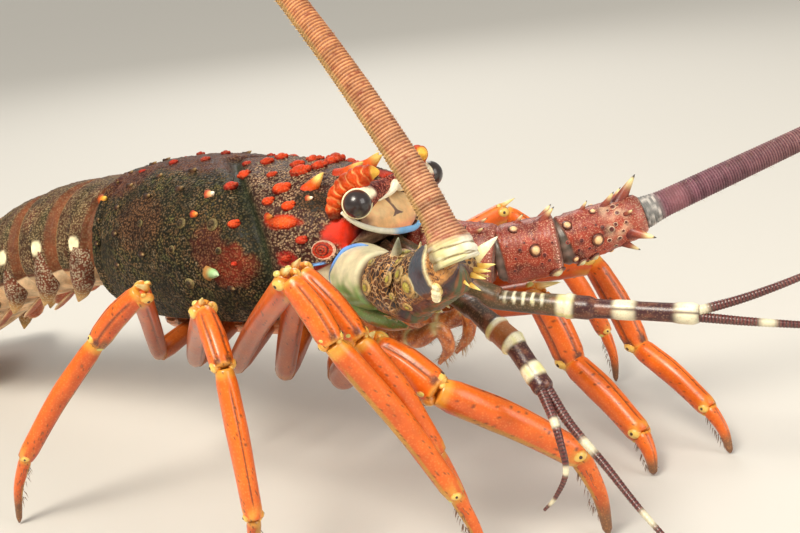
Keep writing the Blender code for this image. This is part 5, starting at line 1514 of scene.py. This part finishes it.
def mouthpart_skin(share, angle):
    """Orange and brown lengths."""
    cloud = noise.noise(Vector((share * 20, math.cos(angle) * 2, math.sin(angle) * 2)))
    joint = max(math.exp(-(((share - at) / 0.02) ** 2)) for at in (0.33, 0.6))
    paint = mix(mix((0.34, 0.07, 0.02), (0.70, 0.22, 0.05), 0.5 + cloud), (0.70, 0.55, 0.25), joint)
    return straight(MOUTHPART_FORM, share) * MM, (*paint, 0.3), CREAM


for label, side in SIDES.items():
    made = fresh()
    line = line_through(in_body(*[(x, y * side, z) for x, y, z in MOUTHPART]), 110)
    frames = tube(made, line, 28, mouthpart_skin)
    rng = random.Random(70 + side)
    brush = []
    for k in range(160):
        point, way, across, over = frames[rng.randrange(30, 104)]
        turn = rng.uniform(0, math.tau)
        out = (across * math.cos(turn) + over * math.sin(turn) + Vector((0, -side * 0.6, -0.4))).normalized()
        brush.append((point + out * 1.5 * MM, (out + way * 0.5).normalized(), 3.0 * MM, 0.12 * MM, *[(0.42, 0.24, 0.10)] * 3, 0, 1, way))
    add_spines(made, brush, 4, 4)
    piece(f"mouthpart_{label}", made, leg_finish, "leg_shell", f"maxilliped_{label}")

# %% [markdown]
# The breastplate closes the body below: cream and orange plates, one pair for each pair of legs, parted by
# shallow furrows.

# %% Breastplate
BREAST = ((-46, 16), (-40, 20), (-24, 20.5), (-6, 18.5), (10, 15.5), (24, 12.5), (38, 10.5), (46, 8))


def breast_place(u, v):
    """A closed plate with a rounded lower side and a furrow between each pair of legs."""
    run = min(max((u - 0.04) / 0.92, 0), 1)
    x = -46 + 92 * run
    half = between(BREAST, x)
    furrow = min(abs(x - at) for at in (-34.5, -19.5, -4.5, 10.5, 25.5))
    angle = math.tau * v
    c, s = math.cos(angle), math.sin(angle)
    y = math.copysign(abs(c) ** 0.55, c) * half
    z = -24.5 + math.copysign(abs(s) ** 0.6, s) * (5.0 if s > 0 else 5.9)
    if s < 0:
        z += 1.0 * math.exp(-((furrow / 1.2) ** 2)) + 0.8 * math.exp(-((y / 1.6) ** 2)) + 0.008 * y * y * (1 if half > 12 else 0)
    paint = mix((0.84, 0.58, 0.32), (0.66, 0.20, 0.06), step(0.3, 0.9, abs(y) / half))
    paint = mix((0.34, 0.12, 0.05), paint, step(0.4, 1.6, furrow))
    end = min(u / 0.04, (1 - u) / 0.04, 1)
    point = Vector((x, y * end**0.5, -24.5 + (z + 24.5) * end**0.5))
    return BODY @ (point * MM), (*paint, 0.35), (0.92, 0.74, 0.48)


breast = fresh()
wrap(breast, 150, 84, breast_place)
piece("breastplate", breast, smooth_shell, "cream_shell", "sternum")

# %% [markdown]
# Six arched rings make the tail, each sliding under the one before. Every ring has a smooth front part
# that tucks away, a furrow, and a granular rear part, with pointed side plates and soft paddles below. The
# photo shows none of it, so the colours follow the rear of the shield, with cream spots at the sides.

# %% Tail rings
ABDOMEN_START = Vector((-64, 0, 1)) * MM
SEGMENTS = (
    (19, 6, 28.5, 24.5), (22, 11, 29, 24.5), (22, 17, 28, 23.5),
    (22, 22, 26.5, 22), (21, 27, 24.5, 20.5), (23, 32, 22, 18.5),
)
RING_FORM = ((0, 0.90), (0.12, 0.93), (0.2, 0.95), (0.27, 1.015), (0.6, 1.03), (0.9, 1.02), (0.97, 1.0), (1, 0.96))
TAIL_BROWN, TAIL_OLIVE = (0.10, 0.032, 0.018), (0.045, 0.036, 0.014)

joints = [BODY @ ABDOMEN_START]
for length, slope, _, _ in SEGMENTS:
    joints.append(joints[-1] + heading(180, -slope) * length * MM)
steps = [(b - a).normalized() for a, b in zip(joints, joints[1:])]
planes = [-FORWARD] + [(a + b).normalized() for a, b in zip(steps, steps[1:])] + [steps[-1]]

front_half, front_high = 27.5, 23.5
for i, (_, _, half, high) in enumerate(SEGMENTS):
    a, b = joints[i], joints[i + 1]
    ring = fresh()

    def ring_place(u, v, i=i, a=a, b=b, half=half, high=high, f_half=front_half, f_high=front_high):
        """One arched tail ring, closed on its axis at both ends."""
        t = min(max((u - 0.05) / 0.9, 0), 1) * 1.04 - 0.02
        plane = (planes[i] * (1 - t) + planes[i + 1] * t).normalized()
        over = Vector((0, 1, 0)).cross(plane).normalized()
        angle = math.tau * v
        c, s = math.cos(angle), math.sin(angle)
        grown = straight(RING_FORM, min(max(t, 0), 1))
        wide, tall = (f_half + (half - f_half) * t) * grown, (f_high + (high - f_high) * t) * grown
        y = math.copysign(abs(c) ** 0.9, c) * wide
        z = s * tall * (1 if s > 0 else 0.62)
        side_mm = math.acos(max(-1, min(1, s))) * 25
        cell = noise.voronoi(Vector((t * 11, y / 2.1, z / 2.1 + 9 * i)))[0][0]
        rear = step(0.24, 0.30, t) if s > -0.2 else 0.0
        furrow = math.exp(-(((t - 0.62) / 0.028) ** 2)) * step(6, 12, side_mm) * (1 if s > -0.1 else 0)
        lift = rear * max(0, 0.5 - cell) * 0.6 - 0.7 * furrow
        scale = 1 + lift / 25
        drift = noise.noise(Vector((t * 3, y / 9, z / 9 + i)))
        paint = mix(TAIL_OLIVE, TAIL_BROWN, 0.5 + 0.8 * drift)
        paint = mix((0.16, 0.05, 0.02), paint, rear)
        paint = mix(paint, (0.015, 0.012, 0.008), furrow * 0.8)
        grain, amount = (0.42, 0.30, 0.15), 0.25 + 0.65 * rear
        edge = step(0.93, 0.97, t) * (1 if s > -0.2 else 0)
        paint = mix(paint, (0.66, 0.32, 0.08), edge * 0.8)
        spot = math.hypot((t - 0.46) * 22 / 3.2, (side_mm - 33) / 3.0)
        paint = mix((0.86, 0.76, 0.48), paint, step(0.75, 1.1, spot))
        amount *= step(0.75, 1.1, spot)
        if s < -0.25:
            paint, amount = mix((0.62, 0.36, 0.18), (0.80, 0.58, 0.36), 0.5 + drift), 0.1
        end = min(u / 0.05, (1 - u) / 0.05, 1)
        return a.lerp(b, t) + (Vector((0, y, 0)) + over * z) * MM * scale * end, (*paint, amount), grain

    wrap(ring, 84, 150, ring_place)

    def plate_skin(share, angle):
        """A pointed side plate, cream along its edge."""
        paint = mix((0.14, 0.04, 0.02), (0.74, 0.42, 0.14), step(0.55, 0.95, share))
        return straight(((0, 5.2), (0.25, 5.4), (0.55, 4.4), (0.8, 2.7), (1, 0.4)), share) * MM, (*paint, 0.6), CREAM

    def paddle_skin(share, angle):
        """A soft leaf-like paddle with a pale rim."""
        rim = abs(math.cos(angle)) ** 6
        paint = mix((0.40, 0.10, 0.05), (0.86, 0.62, 0.36), max(rim, step(0.85, 1, share)))
        size = straight(((0, 0.45), (0.2, 0.8), (0.5, 1.0), (0.8, 0.85), (0.95, 0.5), (1, 0.2)), share)
        return 0.85 * size * MM, (*paint, 0.2), CREAM

    back_way = (b - a).normalized()
    for side in SIDES.values():
        root = a.lerp(b, 0.42) + Vector((0, side * half * 0.9 * MM, 0))
        path = [root + Vector((0, -side * 2.2, 3.5)) * MM]
        for fall, sweep in ((5, 1), (11.5, 3.4), (16.5, 7)):
            path.append(root + Vector((0, 0, -fall)) * MM + back_way * sweep * MM)
        tube(ring, line_through(path, 40), 28, plate_skin, up=Vector((0, 1, 0)))
        if 1 <= i <= 4:
            root = a.lerp(b, 0.5) + Vector((0, side * half * 0.5, -high * 0.58)) * MM
            way = (back_way * 0.8 + Vector((0, side * 0.25, -0.5))).normalized()
            line = [root, root + way * 4 * MM, root + way * 9 * MM, root + way * 13 * MM]
            tube(ring, line_through(line, 30), 26, paddle_skin, flat=5.0)
    piece(f"tail_ring_{i + 1}", ring, granular, "shell", f"abdomen_{i + 1}")
    front_half, front_high = half, high

# %% [markdown]
# The tail fan has five blades. Each is hard and granular near its root and leathery behind, where fine
# rays spread to a fringe of short hairs.

# %% Tail fan
FAN = (
    ("telson", 0, 0, 0, 3.5, 52, 13),
    ("uropod_R_inner", -1, 17, 9.5, -0.3, 50, 11.5),
    ("uropod_L_inner", 1, 17, 9.5, -0.3, 50, 11.5),
    ("uropod_R_outer", -1, 36, 14.5, -4.1, 48, 11.5),
    ("uropod_L_outer", 1, 36, 14.5, -4.1, 48, 11.5),
)
FAN_SLOPE = 20
FAN_WIDTH = ((0, 0.42), (0.1, 0.5), (0.3, 0.78), (0.6, 1.0), (0.85, 0.97), (0.95, 0.78), (1, 0.4))
FAN_THICK = ((0, 1.5), (0.3, 1.45), (0.6, 1.1), (0.85, 0.85), (1, 0.35))

for name, side, yaw, out, lift, length, half in FAN:
    way = heading(180 - side * yaw, -FAN_SLOPE)
    over = Vector((0, 1, 0)).cross(planes[-1]).normalized()
    start = joints[-1] + Vector((0, side * out * MM, 0)) + over * lift * MM
    across = way.cross(Vector((0, 0, 1))).normalized()
    rise = across.cross(way).normalized()
    blade = fresh()

    def blade_place(u, v):
        """A thin closed blade with rays behind."""
        t = min(max((u - 0.03) / 0.94, 0), 1)
        end = 0 if u in (0, 1) else 1
        angle = math.tau * v
        c, s = math.cos(angle), math.sin(angle)
        wide = straight(FAN_WIDTH, t) * half * math.copysign(abs(c) ** 0.8, c) * end
        hard = 1 - step(0.42, 0.52, t + 0.04 * math.cos(wide / half * 3))
        rays = 0.5 + 0.5 * math.cos(wide / half / max(0.4, straight(FAN_WIDTH, t)) * 46)
        cell = noise.voronoi(Vector((t * 26, wide / 1.9, s)))[0][0]
        thick = straight(FAN_THICK, t) * s * (1 + 0.12 * rays * (1 - hard)) * end
        thick += math.copysign(max(0, 0.45 - cell) * 0.5 * hard * abs(s), s)
        keel = 0.5 * math.exp(-((wide / 1.2) ** 2)) * (1 - step(0.6, 0.8, t)) * max(s, 0)
        point = start + way * length * t * MM + Vector((0, 0, 5 * t * t * MM))
        point += across * wide * MM + rise * (thick + keel) * MM
        soft = mix(mix((0.34, 0.10, 0.04), (0.62, 0.26, 0.08), rays), (0.80, 0.56, 0.24), step(0.86, 1.0, t))
        paint = mix(soft, (0.11, 0.04, 0.02), hard)
        return point, (*paint, 0.15 + 0.75 * hard), (0.46, 0.32, 0.16)

    wrap(blade, 90, 90, blade_place)
    fringe = []
    for k in range(150):
        share = -1 + 2 * (k + 0.5) / 150
        t = 0.97 - 0.10 * abs(share) ** 3 - 0.12 * abs(share) ** 9
        root = start + way * length * t * MM + Vector((0, 0, 5 * t * t * MM)) + across * share * half * 0.86 * MM
        out_way = (way + across * share * 0.5).normalized()
        fringe.append((root, out_way, 2.2 * MM, 0.10 * MM, *[(0.50, 0.30, 0.12)] * 3, 0, 1, way))
    add_spines(blade, fringe, 4, 4)
    piece(name + "_blade", blade, granular, "shell", name)

# %% [markdown]
# A solid that no piece has replaced is shown as it is, in the smooth shell finish; a plain copy of that finish is made
# for each slot but not used.

# %% Solids left as they are
PLAIN = {
    "shell": (0.10, 0.035, 0.02), "cream_shell": (0.72, 0.50, 0.26), "face_shell": (0.80, 0.50, 0.36),
    "eye_surface": (0.01, 0.008, 0.01), "leg_shell": (0.66, 0.16, 0.03), "antenna_shell": (0.42, 0.10, 0.06),
    "whip_shell": (0.45, 0.22, 0.20), "antennule_shell": (0.14, 0.03, 0.03),
}
plain_finish = {}
for name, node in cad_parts.items():
    slot = next((s for s in PLAIN if s in str(node.get("slot", ""))), "leg_shell")
    if slot not in plain_finish:
        made = smooth_shell.copy()
        made.name = "plain_" + slot
        plain_finish[slot] = made
    node.data.materials.clear()
    node.data.materials.append(smooth_shell)
print("solids shown as they are:", len(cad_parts))
